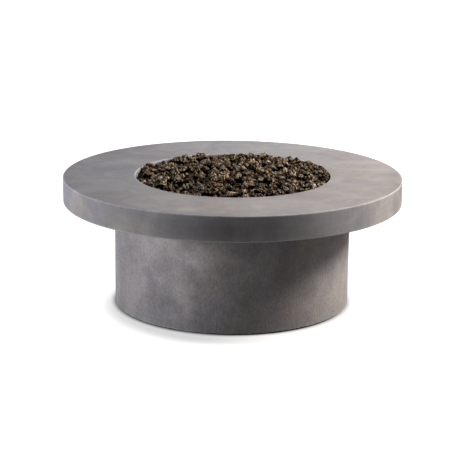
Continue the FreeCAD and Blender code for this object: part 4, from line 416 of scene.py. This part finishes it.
def moulded(name, colour, roughness, grain, depth, dusty=0.12):
    """Moulded plastic or rubber with a fine grain and a film of dust."""
    g = Graph(name)
    leather = g.cells(grain)
    film = g.fit(g.noise(45.0, 5.0, 0.65), 0.45, 0.75, 0.0, dusty)
    base = g.mix(film, colour, DUST)
    base = g.shaded(base, g.noise(300.0, 3.0), 0.86, 1.12)
    rough = g.fit(g.noise(90.0, 4.0), 0.3, 0.7, *roughness)
    return g.set(Base_Color=base, Roughness=rough, Normal=g.bump(leather, depth))


def glazed_ceramic(name):
    g = Graph(name)
    base = g.mix(g.fit(g.noise(160.0, 4.0), 0.5, 0.72), (0.78, 0.77, 0.73), (0.62, 0.56, 0.47))
    return g.set(Base_Color=base, Roughness=g.fit(g.noise(200.0), 0.3, 0.7, 0.22, 0.4))


def pressed_fibre(name):
    """High-temperature gasket board: matted fibres in two crossing directions."""
    g = Graph(name)
    first = g.noise(1.0, 3.0, 0.6, 0.5, g.stretched((300, 1800, 900)))
    second = g.noise(1.0, 3.0, 0.6, 0.5, g.stretched((1800, 300, 900)))
    fibres = g.calc("MAXIMUM", first, second)
    base = g.mix(g.fit(fibres, 0.45, 0.75), (0.30, 0.28, 0.25), (0.62, 0.59, 0.54))
    return g.set(Base_Color=base, Roughness=0.92, Normal=g.bump(fibres, 0.0002))


# Lava

OCHRE = (0.26, 0.178, 0.104)
OCHRE_SHARE = 0.36
ASH = (0.36, 0.32, 0.275)
ASH_SHARE = 0.40
GRIT_SHADE = (0.55, 1.45)  # factors on the colour, for the least and the most of each
CRUST_SHADE = (0.20, 1.90)
VESICLE_PAINTED_SHADE = (1.0, 0.25)
# painted shade: 2.15 times the colour where there is none, down to black where it is deepest
PAINTED_SHADE_FACTORS = (2.15, 0.0)
ROUGH_RELIEF = 0.0026
VESICLE_DEPTH = 0.0011
FINE_DEPTH = 0.0004


def lava(name, tone_attribute):
    """Vesicular lava: pitted, each rock with its own tone, ochre in places, with painted shade in its
    creases, chips, pits and vesicles and low on its sides.
    """
    g = Graph(name)
    vesicles = g.fit(g.cells(330.0), 0.42, 0.10)
    fine = g.fit(g.cells(900.0), 0.45, 0.12)
    ochre = g.fit(g.noise(85.0, 5.0, 0.65, 0.6), 0.50, 0.68)
    if tone_attribute:
        tone = g.add("Attribute", attribute_name="rock_tone").outputs["Color"]
        painted_shade = g.add("Attribute", attribute_name="rock_painted_shade").outputs["Fac"]
    else:
        # the bed under the rocks: a near-black tone, painted shade of the gaps it shows through, with noise
        # in place of the rocks' painted shade
        tone = g.mix(g.noise(60.0, 4.0), (0.020, 0.016, 0.012), (0.045, 0.034, 0.026))
        painted_shade = g.noise(140.0, 3.0)
    colour = g.mix(g.calc("MULTIPLY", ochre, OCHRE_SHARE), tone, OCHRE)
    ash = g.fit(g.noise(170.0, 4.0, 0.7), 0.58, 0.76)
    colour = g.mix(g.calc("MULTIPLY", ash, ASH_SHARE), colour, ASH)
    colour = g.shaded(colour, g.noise(420.0, 4.0, 0.7), *GRIT_SHADE)
    crust = g.fit(g.noise(150.0, 5.0, 0.86, 0.5), 0.39, 0.61)
    colour = g.shaded(colour, crust, *CRUST_SHADE)
    # painted shade in the vesicles
    colour = g.shaded(colour, vesicles, *VESICLE_PAINTED_SHADE)
    # painted shade: the rocks' own, from their attribute, or noise on the bed
    colour = g.shaded(colour, g.fit(painted_shade, 0.02, 0.74), *PAINTED_SHADE_FACTORS)
    normal = g.bump(g.noise(210.0, 6.0, 0.75), ROUGH_RELIEF, 0.9)
    normal = g.bump(g.calc("SUBTRACT", 1.0, vesicles), VESICLE_DEPTH, 1.0, normal)
    normal = g.bump(g.calc("SUBTRACT", 1.0, fine), FINE_DEPTH, 1.0, normal)
    return g.set(Base_Color=colour, Roughness=0.9, Normal=normal, Specular_IOR_Level=0.0)


# Materials by the record's slots

TOP_LOW, TOP_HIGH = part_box("table_top")
DRUM_LOW, DRUM_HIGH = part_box("base_drum")
TOP_RADIUS = TOP_HIGH.x
DRUM_RADIUS = DRUM_HIGH.x
BED_GAP = 0.001  # between the lava bed and the opening's wall
OPENING_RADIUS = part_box("lava_bed")[1].x + BED_GAP
TOP_EDGES = [
    (TOP_RADIUS, TOP_HIGH.z, True, True),
    (TOP_RADIUS, TOP_LOW.z, True, False),
    (OPENING_RADIUS, TOP_HIGH.z, False, True),
]
DRUM_EDGES = [(DRUM_RADIUS, DRUM_LOW.z, True, False)]

# Tinted patches on the cement: centre, reach along each axis, and tint. A few are paler cement; most are
# painted light and painted shade, as noted at each.
TOP_CLOUDS_AND_PAINTED_LIGHT = [
    # a pale warm streak in the cement on the front of the top
    ((-0.12, -0.51, 0.468), (0.22, 0.05, 0.05), (1.14, 1.11, 1.07)),
    # paler across the front of the top
    ((0.03, -0.48, 0.468), (0.50, 0.16, 0.03), (1.09, 1.05, 1.00)),
    # paler and warmer on the rim's left front
    ((-0.52, -0.34, 0.42), (0.14, 0.16, 0.05), (1.14, 1.08, 0.98)),
    # painted highlight on the opening's left inner wall, which faces the key lamp
    ((-0.30, 0.08, 0.435), (0.15, 0.34, 0.036), (1.24, 1.16, 1.06)),
    # painted shade on the rim's front
    ((-0.09, -0.60, 0.415), (0.26, 0.16, 0.06), (0.70, 0.70, 0.70)),
    # painted shade on the rim's right end
    ((0.60, -0.18, 0.42), (0.09, 0.26, 0.09), (0.68, 0.68, 0.69)),
    # a warm, paler cast on the rim's left: painted light of the warm light there
    ((-0.38, -0.48, 0.410), (0.28, 0.18, 0.05), (1.05, 1.06, 0.95)),
]
DRUM_CLOUDS_AND_PAINTED_LIGHT = [
    # a paler cloud in the cement on the drum's front left
    ((-0.22, -0.36, 0.29), (0.16, 0.24, 0.28), (1.38, 1.38, 1.37)),
    # paler on the drum's front, low down
    ((-0.03, -0.42, 0.19), (0.19, 0.14, 0.22), (1.28, 1.26, 1.24)),
    # painted shade low on the drum's front right
    ((0.22, -0.37, 0.07), (0.20, 0.20, 0.14), (0.92, 0.87, 0.84)),
    # painted light on the drum's lower right, below the top's cast shadow
    ((0.36, -0.22, 0.12), (0.18, 0.16, 0.10), (1.12, 1.10, 1.08)),
]

FINISHES = {
    "cast_concrete_top": (concrete, {
        "dark": (0.276, 0.266, 0.275),
        "light": (0.400, 0.384, 0.387),
        "edges": TOP_EDGES,
        "sweep": (3, 8, 45),
        "brush": (60, 60, 7),
        "fleck": 0.025,
        "relief": 0.0003,
        "painted_light_drift": (0.30, 0.20, 0.30),
        "patches": TOP_CLOUDS_AND_PAINTED_LIGHT,
    }),
    "cast_concrete_base": (concrete, {
        "dark": (0.243, 0.235, 0.241),
        "light": (0.373, 0.359, 0.360),
        "edges": DRUM_EDGES,
        "sweep": (7, 7, 2),
        "brush": (150, 150, 30),
        "fleck": 0.075,
        "relief": 0.0009,
        "painted_light_drift": (0.30, 0.0, 0.25),
        "patches": DRUM_CLOUDS_AND_PAINTED_LIGHT,
    }),
    "black_rubber": (moulded, {
        "colour": (0.022, 0.022, 0.023),
        "roughness": (0.62, 0.85),
        "grain": 700.0,
        "depth": 0.00005,
    }),
    "zinc_steel": (zinc, {}),
    "yellow_brass": (metal, {
        "colour": (0.72, 0.50, 0.20),
        "tarnish": (0.42, 0.27, 0.11),
        "roughness": (0.24, 0.42),
        "spots": 0.25,
    }),
    "valve_casting": (metal, {
        "colour": (0.40, 0.40, 0.41),
        "tarnish": (0.31, 0.31, 0.32),
        "roughness": (0.48, 0.66),
        "spots": 0.2,
        "scratch": 0.0001,
    }),
    "stainless_steel": (metal, {
        "colour": (0.55, 0.54, 0.52),
        "tarnish": (0.50, 0.485, 0.46),
        "roughness": (0.24, 0.40),
        "grain": (25, 25, 1500),
        "scratch": 0.00006,
    }),
    "corrugated_steel": (ribbed_steel, {}),
    "aluminium_tube": (metal, {
        "colour": (0.76, 0.76, 0.76),
        "tarnish": (0.60, 0.60, 0.60),
        "roughness": (0.30, 0.46),
    }),
    "copper_lead": (metal, {
        "colour": (0.70, 0.36, 0.22),
        "tarnish": (0.32, 0.17, 0.11),
        "roughness": (0.30, 0.50),
        "spots": 0.2,
    }),
    "lead_insulation": (moulded, {
        "colour": (0.26, 0.045, 0.03),
        "roughness": (0.45, 0.62),
        "grain": 900.0,
        "depth": 0.00002,
    }),
    "black_knob": (moulded, {
        "colour": (0.018, 0.018, 0.019),
        "roughness": (0.30, 0.46),
        "grain": 1100.0,
        "depth": 0.00003,
        "dusty": 0.06,
    }),
    "chrome_trim": (metal, {
        "colour": (0.72, 0.72, 0.73),
        "tarnish": (0.62, 0.62, 0.63),
        "roughness": (0.10, 0.22),
    }),
    "black_button": (moulded, {
        "colour": (0.016, 0.016, 0.017),
        "roughness": (0.36, 0.52),
        "grain": 1000.0,
        "depth": 0.00003,
        "dusty": 0.05,
    }),
    "yellow_grip": (moulded, {
        "colour": (0.62, 0.36, 0.02),
        "roughness": (0.42, 0.60),
        "grain": 800.0,
        "depth": 0.00004,
        "dusty": 0.10,
    }),
    "fibre_gasket": (pressed_fibre, {}),
    "white_ceramic": (glazed_ceramic, {}),
    "lava_stone": (lava, {"tone_attribute": False}),
}


def dress_nodes(materials):
    """Gives every node of the frame the finish of its slot."""
    for part in frame["record"]["subparts"]:
        node = frame["nodes"][part["node"]]
        if not node.material_slots:
            node.data.materials.append(None)
        for place in node.material_slots:
            place.material = materials[part["material_slot"]]


# Rocks


def cube_sphere(steps):
    """Even unit directions, quads, and for each quad corner its face and place in the face."""
    ids = {}
    directions = []
    quads = []
    corners = []
    for face, (axis, side) in enumerate(itertools.product(range(3), (1, -1))):
        for i, j in itertools.product(range(steps), repeat=2):
            ring = [(i, j), (i + 1, j), (i + 1, j + 1), (i, j + 1)]
            if side < 0:
                ring.reverse()
            quad = []
            for a, b in ring:
                point = [0.0, 0.0, 0.0]
                point[axis] = float(side)
                point[(axis + 1) % 3] = math.tan(math.pi / 4 * (2 * a / steps - 1))
                point[(axis + 2) % 3] = math.tan(math.pi / 4 * (2 * b / steps - 1))
                key = tuple(round(v, 6) for v in point)
                if key not in ids:
                    ids[key] = len(directions)
                    directions.append(Vector(point).normalized())
                quad.append(ids[key])
                corners.append((face, a / steps, b / steps))
            quads.append(quad)
    return np.array(directions), np.array(quads), np.array(corners)


def lattice(cells, salt):
    """A number from 0 to 1 for each whole-numbered cell."""
    key = cells[:, 0] * 73856093 ^ cells[:, 1] * 19349663 ^ cells[:, 2] * 83492791 ^ salt * 2654435761
    key = (key ^ key >> 13) * 1274126177 & 0x7FFFFFFF
    key = (key ^ key >> 15) * 668265263 & 0x7FFFFFFF
    return key / 0x7FFFFFFF


def smooth_noise(points, salt):
    """Noise from -1 to 1 with one swell for each unit."""
    cells = np.floor(points).astype(np.int64)
    local = points - cells
    fade = local * local * (3 - 2 * local)
    total = np.zeros(len(points))
    for corner in itertools.product((0, 1), repeat=3):
        weight = np.prod(np.where(corner, fade, 1 - fade), axis=1)
        total += weight * lattice(cells + corner, salt)
    return 2 * total - 1


def pit_noise(points, salt):
    """Distance to the nearest of one random point for each unit cell."""
    cells = np.floor(points).astype(np.int64)
    nearest = np.full(len(points), 9.0)
    for step in itertools.product((-1, 0, 1), repeat=3):
        cell = cells + step
        centre = np.stack([lattice(cell, salt + k) for k in range(3)], axis=1) + cell
        nearest = np.minimum(nearest, np.linalg.norm(points - centre, axis=1))
    return nearest


def rock_cells(node):
    """(middle, normals, distances) of the flat sides of each rock in a node of the frame."""
    mesh = bmesh.new()
    mesh.from_mesh(frame["nodes"][node].data)
    bmesh.ops.remove_doubles(mesh, verts=mesh.verts, dist=MERGE)
    bmesh.ops.dissolve_limit(mesh, angle_limit=math.radians(0.5), verts=mesh.verts, edges=mesh.edges)
    mesh.faces.ensure_lookup_table()
    seen = [False] * len(mesh.faces)
    cells = []
    for first in mesh.faces:
        if seen[first.index]:
            continue
        seen[first.index] = True
        found = [first]
        for face in found:
            for other in (f for edge in face.edges for f in edge.link_faces):
                if not seen[other.index]:
                    seen[other.index] = True
                    found.append(other)
        corners = np.array([v.co for face in found for v in face.verts])
        middle = (corners.min(0) + corners.max(0)) / 2
        flats = [f for f in found if f.calc_area() > LEAST_FACET]
        normals = np.array([f.normal for f in flats])
        distances = np.array([(f.calc_center_median() - Vector(middle)).dot(f.normal) for f in flats])
        if distances.min() < 0:
            normals, distances = -normals, -distances
        cells.append((middle, normals, distances))
    mesh.free()
    return cells


def craggy(directions, salt, size):
    """How far in each direction the surface is drawn in, from 0, and how much painted shade it gets there:
    in its creases, chips and pits, and low on its sides and underneath.
    """
    shift = np.array([salt * 7.31, salt * 3.77, salt * 5.13])
    swell = 0.5 + 0.5 * smooth_noise(directions * SWELL_SCALE + shift, salt)
    crease = 1 - np.abs(smooth_noise(directions * CREASE_SCALE * size + shift, salt + 1))
    chip = 1 - np.abs(smooth_noise(directions * CHIP_SCALE * size + shift, salt + 2))
    pits = np.clip(1 - pit_noise(directions * PIT_SCALE * size + shift, salt + 3) / PIT_RADIUS, 0, 1)
    drawn = SWELL_DEEP * swell + CREASE_DEEP * crease**3 + CHIP_DEEP * chip**3 + PIT_DEEP * pits**0.7
    drawn = np.minimum(drawn - drawn.min(), DEEPEST)
    # painted shade low on the sides and underneath, where rocks shade one another, then in the creases,
    # chips and pits
    under = np.clip(UNDERSIDE_PAINTED_SHADE - UNDERSIDE_SHADE_SLOPE * directions[:, 2], 0, 1)
    painted_shade = np.clip(CREASE_PAINTED_SHADE * crease**6 + CHIP_PAINTED_SHADE * chip**6 + PIT_PAINTED_SHADE * pits + under, 0, 1)
    return drawn, painted_shade


def rock_tone(rng):
    pick = rng.random()
    for share, tone in TONES:
        if pick < share:
            break
        pick -= share
    brighter = rng.uniform(*TONE_SPREAD)
    return [c * brighter for c in tone]


def rock_mesh(name, rocks, steps, finish):
    """One mesh of many rocks, each given as its surface points, painted shade and tone."""
    _, quads, corners = cube_sphere(steps)
    count = len(rocks)
    per_rock = len(rocks[0][0])
    points = np.concatenate([r[0] for r in rocks])
    painted_shades = np.concatenate([r[1] for r in rocks])
    tones = np.repeat([(*r[2], 1.0) for r in rocks], per_rock, axis=0)
    faces = np.concatenate([quads + k * per_rock for k in range(count)])
    mesh = bpy.data.meshes.new(name)
    mesh.from_pydata(points, [], faces.tolist())
    mesh.polygons.foreach_set("use_smooth", np.ones(len(faces), dtype=bool))
    tone = mesh.attributes.new("rock_tone", "FLOAT_COLOR", "POINT")
    tone.data.foreach_set("color", tones.ravel())
    painted_shade = mesh.attributes.new("rock_painted_shade", "FLOAT", "POINT")
    painted_shade.data.foreach_set("value", painted_shades)
    patches = math.ceil(math.sqrt(6 * count))
    places = []
    for k in range(count):
        cell = k * 6 + corners[:, 0]
        u = (cell % patches + UV_MARGIN + (1 - 2 * UV_MARGIN) * corners[:, 1]) / patches
        v = (cell // patches + UV_MARGIN + (1 - 2 * UV_MARGIN) * corners[:, 2]) / patches
        places.append(np.stack([u, v], axis=1))
    uv = mesh.uv_layers.new(name="OFBake")
    uv.data.foreach_set("uv", np.concatenate(places).ravel())
    piece = bpy.data.objects.new(name, mesh)
    bpy.context.scene.collection.objects.link(piece)
    mesh.materials.append(finish)
    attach(piece, ROOT)
    return piece


def rock_pieces(name, rocks, pieces, steps, finish):
    """The rocks in even shares, one mesh for each."""
    share = math.ceil(len(rocks) / pieces)
    shares = [rocks[k * share : (k + 1) * share] for k in range(pieces)]
    return [rock_mesh(f"{name}_{k + 1}", part, steps, finish) for k, part in enumerate(shares)]


def soft_reach(directions, normals, distances):
    """How far each direction runs to the nearest of the flats, with their edges rounded."""
    lean = np.clip(directions @ normals.T, 0, None) / distances
    return np.sum(lean**ROUNDING, axis=1) ** (-1 / ROUNDING)


def shaped_rock(cell, directions, salt, rng):
    """A rock inside its cell: the cell's flats and some random chips blended, then drawn in."""
    middle, normals, distances = cell
    chips = np.array([[rng.gauss(0, 1) for _ in range(3)] for _ in range(CHIPS)])
    chips /= np.linalg.norm(chips, axis=1)[:, None]
    depths = soft_reach(chips, normals, distances) * [rng.uniform(*CHIP_DEPTH) for _ in range(CHIPS)]
    reach = soft_reach(directions, np.concatenate([normals, chips]), np.concatenate([distances, depths]))
    drawn, painted_shade = craggy(directions, salt, reach.mean() / USUAL_REACH)
    drawn *= rng.uniform(*CRAG_SHARE)
    turn = rng.uniform(0, math.pi)
    longer = directions[:, :2] @ [math.cos(turn), math.sin(turn)]
    least, most = ROCK_SIZES
    size = least + (most - least) * rng.random() ** 2
    reach *= size * (1 + ROCK_STRETCH * (longer**2 - STRETCH_EVEN))
    away = math.hypot(middle[0], middle[1]) / OPENING_RADIUS
    at = math.atan2(middle[1], middle[0])
    heaped = away**4 * max(0, *(share * math.cos(at - towards) for towards, share in LEANS))
    reach *= 1 + ROCKS_LARGER * heaped
    rise = rng.uniform(-ROCK_JITTER, ROCK_JITTER) + ROCKS_RISE * heaped + ROCK_PROUD * (size - 1)
    points = middle + (0, 0, rise) + directions * (reach * (1 - drawn))[:, None] * (1, 1, ROCK_TALLER)
    far = np.hypot(points[:, 0], points[:, 1])
    points[:, :2] *= np.minimum(1, (OPENING_RADIUS - WALL_GAP) / far)[:, None]
    points[:, 2] -= max(points[:, 2].max() - HEAP_TOP + HEAP_FALL * away**2, 0)
    return points, painted_shade, rock_tone(rng)


def lay_rocks(layer_cells, crown_cells, finish):
    rng = random.Random(ROCK_SEED)
    directions = cube_sphere(ROCK_STEPS)[0]
    layer = [shaped_rock(cell, directions, k, rng) for k, cell in enumerate(layer_cells)]
    crown = [shaped_rock(cell, directions, len(layer) + k, rng) for k, cell in enumerate(crown_cells)]
    for piece in rock_pieces("lava_layer", layer, LAYER_PIECES, ROCK_STEPS, finish):
        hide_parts("lava_rocks")
    for piece in rock_pieces("lava_crown", crown, CROWN_PIECES, ROCK_STEPS, finish):
        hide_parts("lava_rocks_top")


def lay_fill(layer_cells, finish):
    """Small stones in the gaps that the rocks leave: some on the bed, some caught between rocks, darkened
    as painted shade of the gaps.
    """
    rng = random.Random(ROCK_SEED + 1)
    bed = bmesh.new()
    bed.from_mesh(frame["nodes"]["lava_bed"].data)
    tree = BVHTree.FromBMesh(bed)
    bed.free()
    middles = np.array([cell[0] for cell in layer_cells])
    directions = cube_sphere(FILL_STEPS)[0]
    places = []
    stones = []
    for _ in range(FILL_TRIES):
        away = OPENING_RADIUS * math.sqrt(rng.random())
        turn = rng.uniform(0, 2 * math.pi)
        size = rng.uniform(*FILL_RADII)
        place = np.array([away * math.cos(turn), away * math.sin(turn)])
        if away > OPENING_RADIUS - size - FILL_FROM_WALL:
            continue
        gaps = np.linalg.norm(middles[:, :2] - place, axis=1)
        if gaps.min() < FILL_FROM_ROCKS:
            continue
        if any(np.linalg.norm(place - other) < FILL_APART for other in places):
            continue
        places.append(place)
        hit = tree.ray_cast(Vector((*place, TOP_HIGH.z)), Vector((0, 0, -1)))[0]
        stones.append((np.array([*place, hit.z + size * FILL_LIFT]), size))
        size = min(gaps.min() - CAUGHT_ROOM, CAUGHT_MOST) * rng.uniform(*CAUGHT_SIZES)
        height = middles[gaps.argmin()][2] + rng.uniform(*CAUGHT_HEIGHTS)
        stones.append((np.array([*place, height]), size))
    rocks = []
    for k, (middle, size) in enumerate(stones):
        drawn, painted_shade = craggy(directions, FILL_SALT + k, size / USUAL_REACH)
        squat = rng.uniform(*FILL_SQUAT)
        points = middle + directions * (size * (1 - drawn))[:, None] * (1, 1, squat)
        rocks.append((points, painted_shade, [c * FILL_PAINTED_SHADE for c in rock_tone(rng)]))
    rock_pieces("lava_fill", rocks, FILL_PIECES, FILL_STEPS, finish)


# Hoses: corrugated steel, along the same points as the plain tubes that they stand for

SUPPLY_ROUTE = [
    (166.4, 330.5, 50.0),
    (107.6, 367.3, 50.0),
    (-9.7, 382.6, 31.0),
    (-89.0, 372.2, 31.0),
    (-164.5, 345.6, 31.0),
    (-232.7, 303.9, 31.0),
    (-272.9, 272.3, 82.0),
    (-272.9, 272.3, 148.0),
]
BURNER_ROUTE = [
    (-244.0, 237.8, 250.0),
    (-211.8, 199.5, 250.0),
    (-165.9, 161.7, 207.9),
    (-117.1, 114.2, 165.7),
    (-65.9, 64.2, 154.0),
    (-26.8, 26.2, 164.1),
    (-2.9, 2.9, 204.5),
    (0.0, 0.0, 254.2),
    (0.0, 0.0, 294.0),
]
SUPPLY_RADIUS = 0.0070
BURNER_RADIUS = 0.0060
ROUTE_STEPS = 24
RIB_PITCH = 0.0036
RIB_RINGS = 4
RIB_DEPTH = 0.12  # share of the radius
HOSE_SIDES = 20


def smooth_route(name, route):
    """Points along the smooth line that a route's points draw."""
    curve = bpy.data.curves.new(name + "_line", "CURVE")
    curve.dimensions = "3D"
    spline = curve.splines.new("NURBS")
    spline.points.add(len(route) - 1)
    for point, place in zip(spline.points, route):
        point.co = (*(v * MM for v in place), 1.0)
    spline.order_u = 3
    spline.use_endpoint_u = True
    spline.resolution_u = ROUTE_STEPS
    line = bpy.data.objects.new(name + "_line", curve)
    bpy.context.scene.collection.objects.link(line)
    bpy.context.view_layer.update()
    mesh = bpy.data.meshes.new_from_object(line)
    points = [v.co.copy() for v in mesh.vertices]
    bpy.data.objects.remove(line)
    bpy.data.curves.remove(curve)
    bpy.data.meshes.remove(mesh)
    return points


def spaced(points, count):
    """The line's points again, at even steps."""
    points = np.array(points)
    steps = np.linalg.norm(np.diff(points, axis=0), axis=1)
    at = np.concatenate([[0], np.cumsum(steps)])
    wanted = np.linspace(0, at[-1], count)
    return np.stack([np.interp(wanted, at, points[:, k]) for k in range(3)], axis=1)


def line_length(points):
    return sum((b - a).length for a, b in zip(points, points[1:]))


def ribbed_hose(node, route, radius, finish):
    """A corrugated tube along a route, in place of the plain tube of that node."""
    line = smooth_route(node, route)
    ribs = round(line_length(line) / RIB_PITCH)
    path = [Vector(p) for p in spaced(line, ribs * RIB_RINGS + 1)]
    verts = []
    across = (path[1] - path[0]).orthogonal().normalized()
    for k, point in enumerate(path):
        along = (path[min(k + 1, len(path) - 1)] - path[max(k - 1, 0)]).normalized()
        across = (across - along * across.dot(along)).normalized()
        other = along.cross(across)
        wave = 0.5 + 0.5 * math.cos(2 * math.pi * k / RIB_RINGS)
        size = radius * (1 - RIB_DEPTH * wave)
        for j in range(HOSE_SIDES):
            a = 2 * math.pi * j / HOSE_SIDES
            verts.append(point + (across * math.cos(a) + other * math.sin(a)) * size)
    faces = []
    for k in range(len(path) - 1):
        for j in range(HOSE_SIDES):
            a, b = k * HOSE_SIDES + j, k * HOSE_SIDES + (j + 1) % HOSE_SIDES
            faces.append((a, b, b + HOSE_SIDES, a + HOSE_SIDES))
    faces.append(list(range(HOSE_SIDES))[::-1])
    last = (len(path) - 1) * HOSE_SIDES
    faces.append(list(range(last, last + HOSE_SIDES)))
    mesh = bpy.data.meshes.new(node + "_ribbed")
    mesh.from_pydata(verts, [], faces)
    mesh.polygons.foreach_set("use_smooth", [True] * len(faces))
    piece = bpy.data.objects.new(node + "_ribbed", mesh)
    bpy.context.scene.collection.objects.link(piece)
    mesh.materials.append(finish)
    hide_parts(node)
    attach(piece, ROOT)


# Stage


def floor():
    """A pale floor that looks white and keeps the table's soft shadow."""
    half = FLOOR_SIDE / 2
    corners = [(-half, -half, 0), (half, -half, 0), (half, half, 0), (-half, half, 0)]
    mesh = bpy.data.meshes.new("floor")
    mesh.from_pydata(corners, [], [(0, 1, 2, 3)])
    piece = bpy.data.objects.new("floor", mesh)
    bpy.context.scene.collection.objects.link(piece)
    g = Graph("floor")
    path = g.add("LightPath").outputs
    seen = g.calc("MAXIMUM", path["Is Camera Ray"], path["Is Glossy Ray"])
    seen = g.calc("MAXIMUM", seen, path["Is Transmission Ray"])
    g.set(Base_Color=g.mix(seen, FLOOR_BOUNCE, FLOOR_SEEN), Roughness=1.0, Specular_IOR_Level=0.0)
    glow = g.fit(g.radius(SHADOW_CENTRE), *FLOOR_WHITE, FLOOR_GLOW, 1.0)
    glow = g.calc("MULTIPLY", glow, g.fit(g.radius(), *FLOOR_UNDER))
    light = g.add("Emission", {"Color": rgba(WHITE), "Strength": g.calc("MULTIPLY", seen, glow)})
    both = g.add("AddShader", {0: g.shader.outputs[0], 1: light.outputs[0]})
    back = g.add("NewGeometry").outputs["Backfacing"]
    clear = g.add("MixShader", {0: back, 1: both.outputs[0], 2: g.add("BsdfTransparent").outputs[0]})
    g.tree.links.new(clear.outputs[0], g.tree.nodes["Material Output"].inputs["Surface"])
    mesh.materials.append(g.material)


def world():
    """White to the eye and to gloss, and a low even light on everything else."""
    sky = bpy.data.worlds.new("studio")
    sky.use_nodes = True
    tree = sky.node_tree
    background = tree.nodes["Background"]
    background.inputs["Color"].default_value = rgba(WHITE)
    background.inputs["Strength"].default_value = 1.0
    ambient = tree.nodes.new("ShaderNodeBackground")
    ambient.inputs["Color"].default_value = rgba(AMBIENT)
    ambient.inputs["Strength"].default_value = AMBIENT_STRENGTH
    path = tree.nodes.new("ShaderNodeLightPath").outputs
    seen = path["Is Camera Ray"]
    for name in ("Is Glossy Ray", "Is Transmission Ray"):
        larger = tree.nodes.new("ShaderNodeMath")
        larger.operation = "MAXIMUM"
        tree.links.new(seen, larger.inputs[0])
        tree.links.new(path[name], larger.inputs[1])
        seen = larger.outputs[0]
    either = tree.nodes.new("ShaderNodeMixShader")
    tree.links.new(seen, either.inputs[0])
    tree.links.new(ambient.outputs[0], either.inputs[1])
    tree.links.new(background.outputs[0], either.inputs[2])
    tree.links.new(either.outputs[0], tree.nodes["World Output"].inputs["Surface"])
    bpy.context.scene.world = sky


def lamps():
    for name, (azimuth, elevation, size, power, colour) in LAMPS.items():
        light = bpy.data.lights.new(name, "AREA")
        light.shape = "DISK"
        light.size = size
        light.energy = power
        light.color = colour
        lamp = bpy.data.objects.new(name, light)
        bpy.context.scene.collection.objects.link(lamp)
        a, e = math.radians(azimuth), math.radians(elevation)
        way = Vector((math.sin(a) * math.cos(e), -math.cos(a) * math.cos(e), math.sin(e)))
        lamp.location = LAMP_AIM + way * LAMP_DISTANCE
        lamp.rotation_euler = way.to_track_quat("Z", "Y").to_euler()
        lamp.visible_camera = False


def camera():
    pitch, roll = math.radians(PITCH), math.radians(ROLL)
    forward = Vector((0, math.cos(pitch), -math.sin(pitch)))
    level_up = Vector((0, math.sin(pitch), math.cos(pitch)))
    level_right = Vector((1, 0, 0))
    right = level_right * math.cos(roll) + level_up * math.sin(roll)
    up = level_up * math.cos(roll) - level_right * math.sin(roll)
    lens = bpy.data.cameras.new("camera")
    lens.sensor_width = SENSOR
    lens.lens = FOCAL_PIXELS * SENSOR / IMAGE_SIDE
    lens.shift_x = -CENTRE_OFFSET[0] / IMAGE_SIDE
    lens.shift_y = CENTRE_OFFSET[1] / IMAGE_SIDE
    eye = bpy.data.objects.new("camera", lens)
    bpy.context.scene.collection.objects.link(eye)
    place = Vector((0, 0, LOOK_AT_HEIGHT)) - forward * DISTANCE
    turn = Matrix((right, up, -forward)).transposed()
    eye.matrix_world = Matrix.Translation(place) @ turn.to_4x4()
    bpy.context.scene.camera = eye


bpy.context.scene.view_settings.view_transform = "Standard"
camera()
world()
lamps()
floor()

finishes = {slot: make(slot, **settings) for slot, (make, settings) in FINISHES.items()}
dress_nodes(finishes)
rock_finish = lava("lava_rock", tone_attribute=True)
layer_cells = rock_cells("lava_rocks")
lay_rocks(layer_cells, rock_cells("lava_rocks_top"), rock_finish)
lay_fill(layer_cells, rock_finish)
ribbed_hose("supply_hose", SUPPLY_ROUTE, SUPPLY_RADIUS, finishes["corrugated_steel"])
ribbed_hose("burner_hose", BURNER_ROUTE, BURNER_RADIUS, finishes["corrugated_steel"])
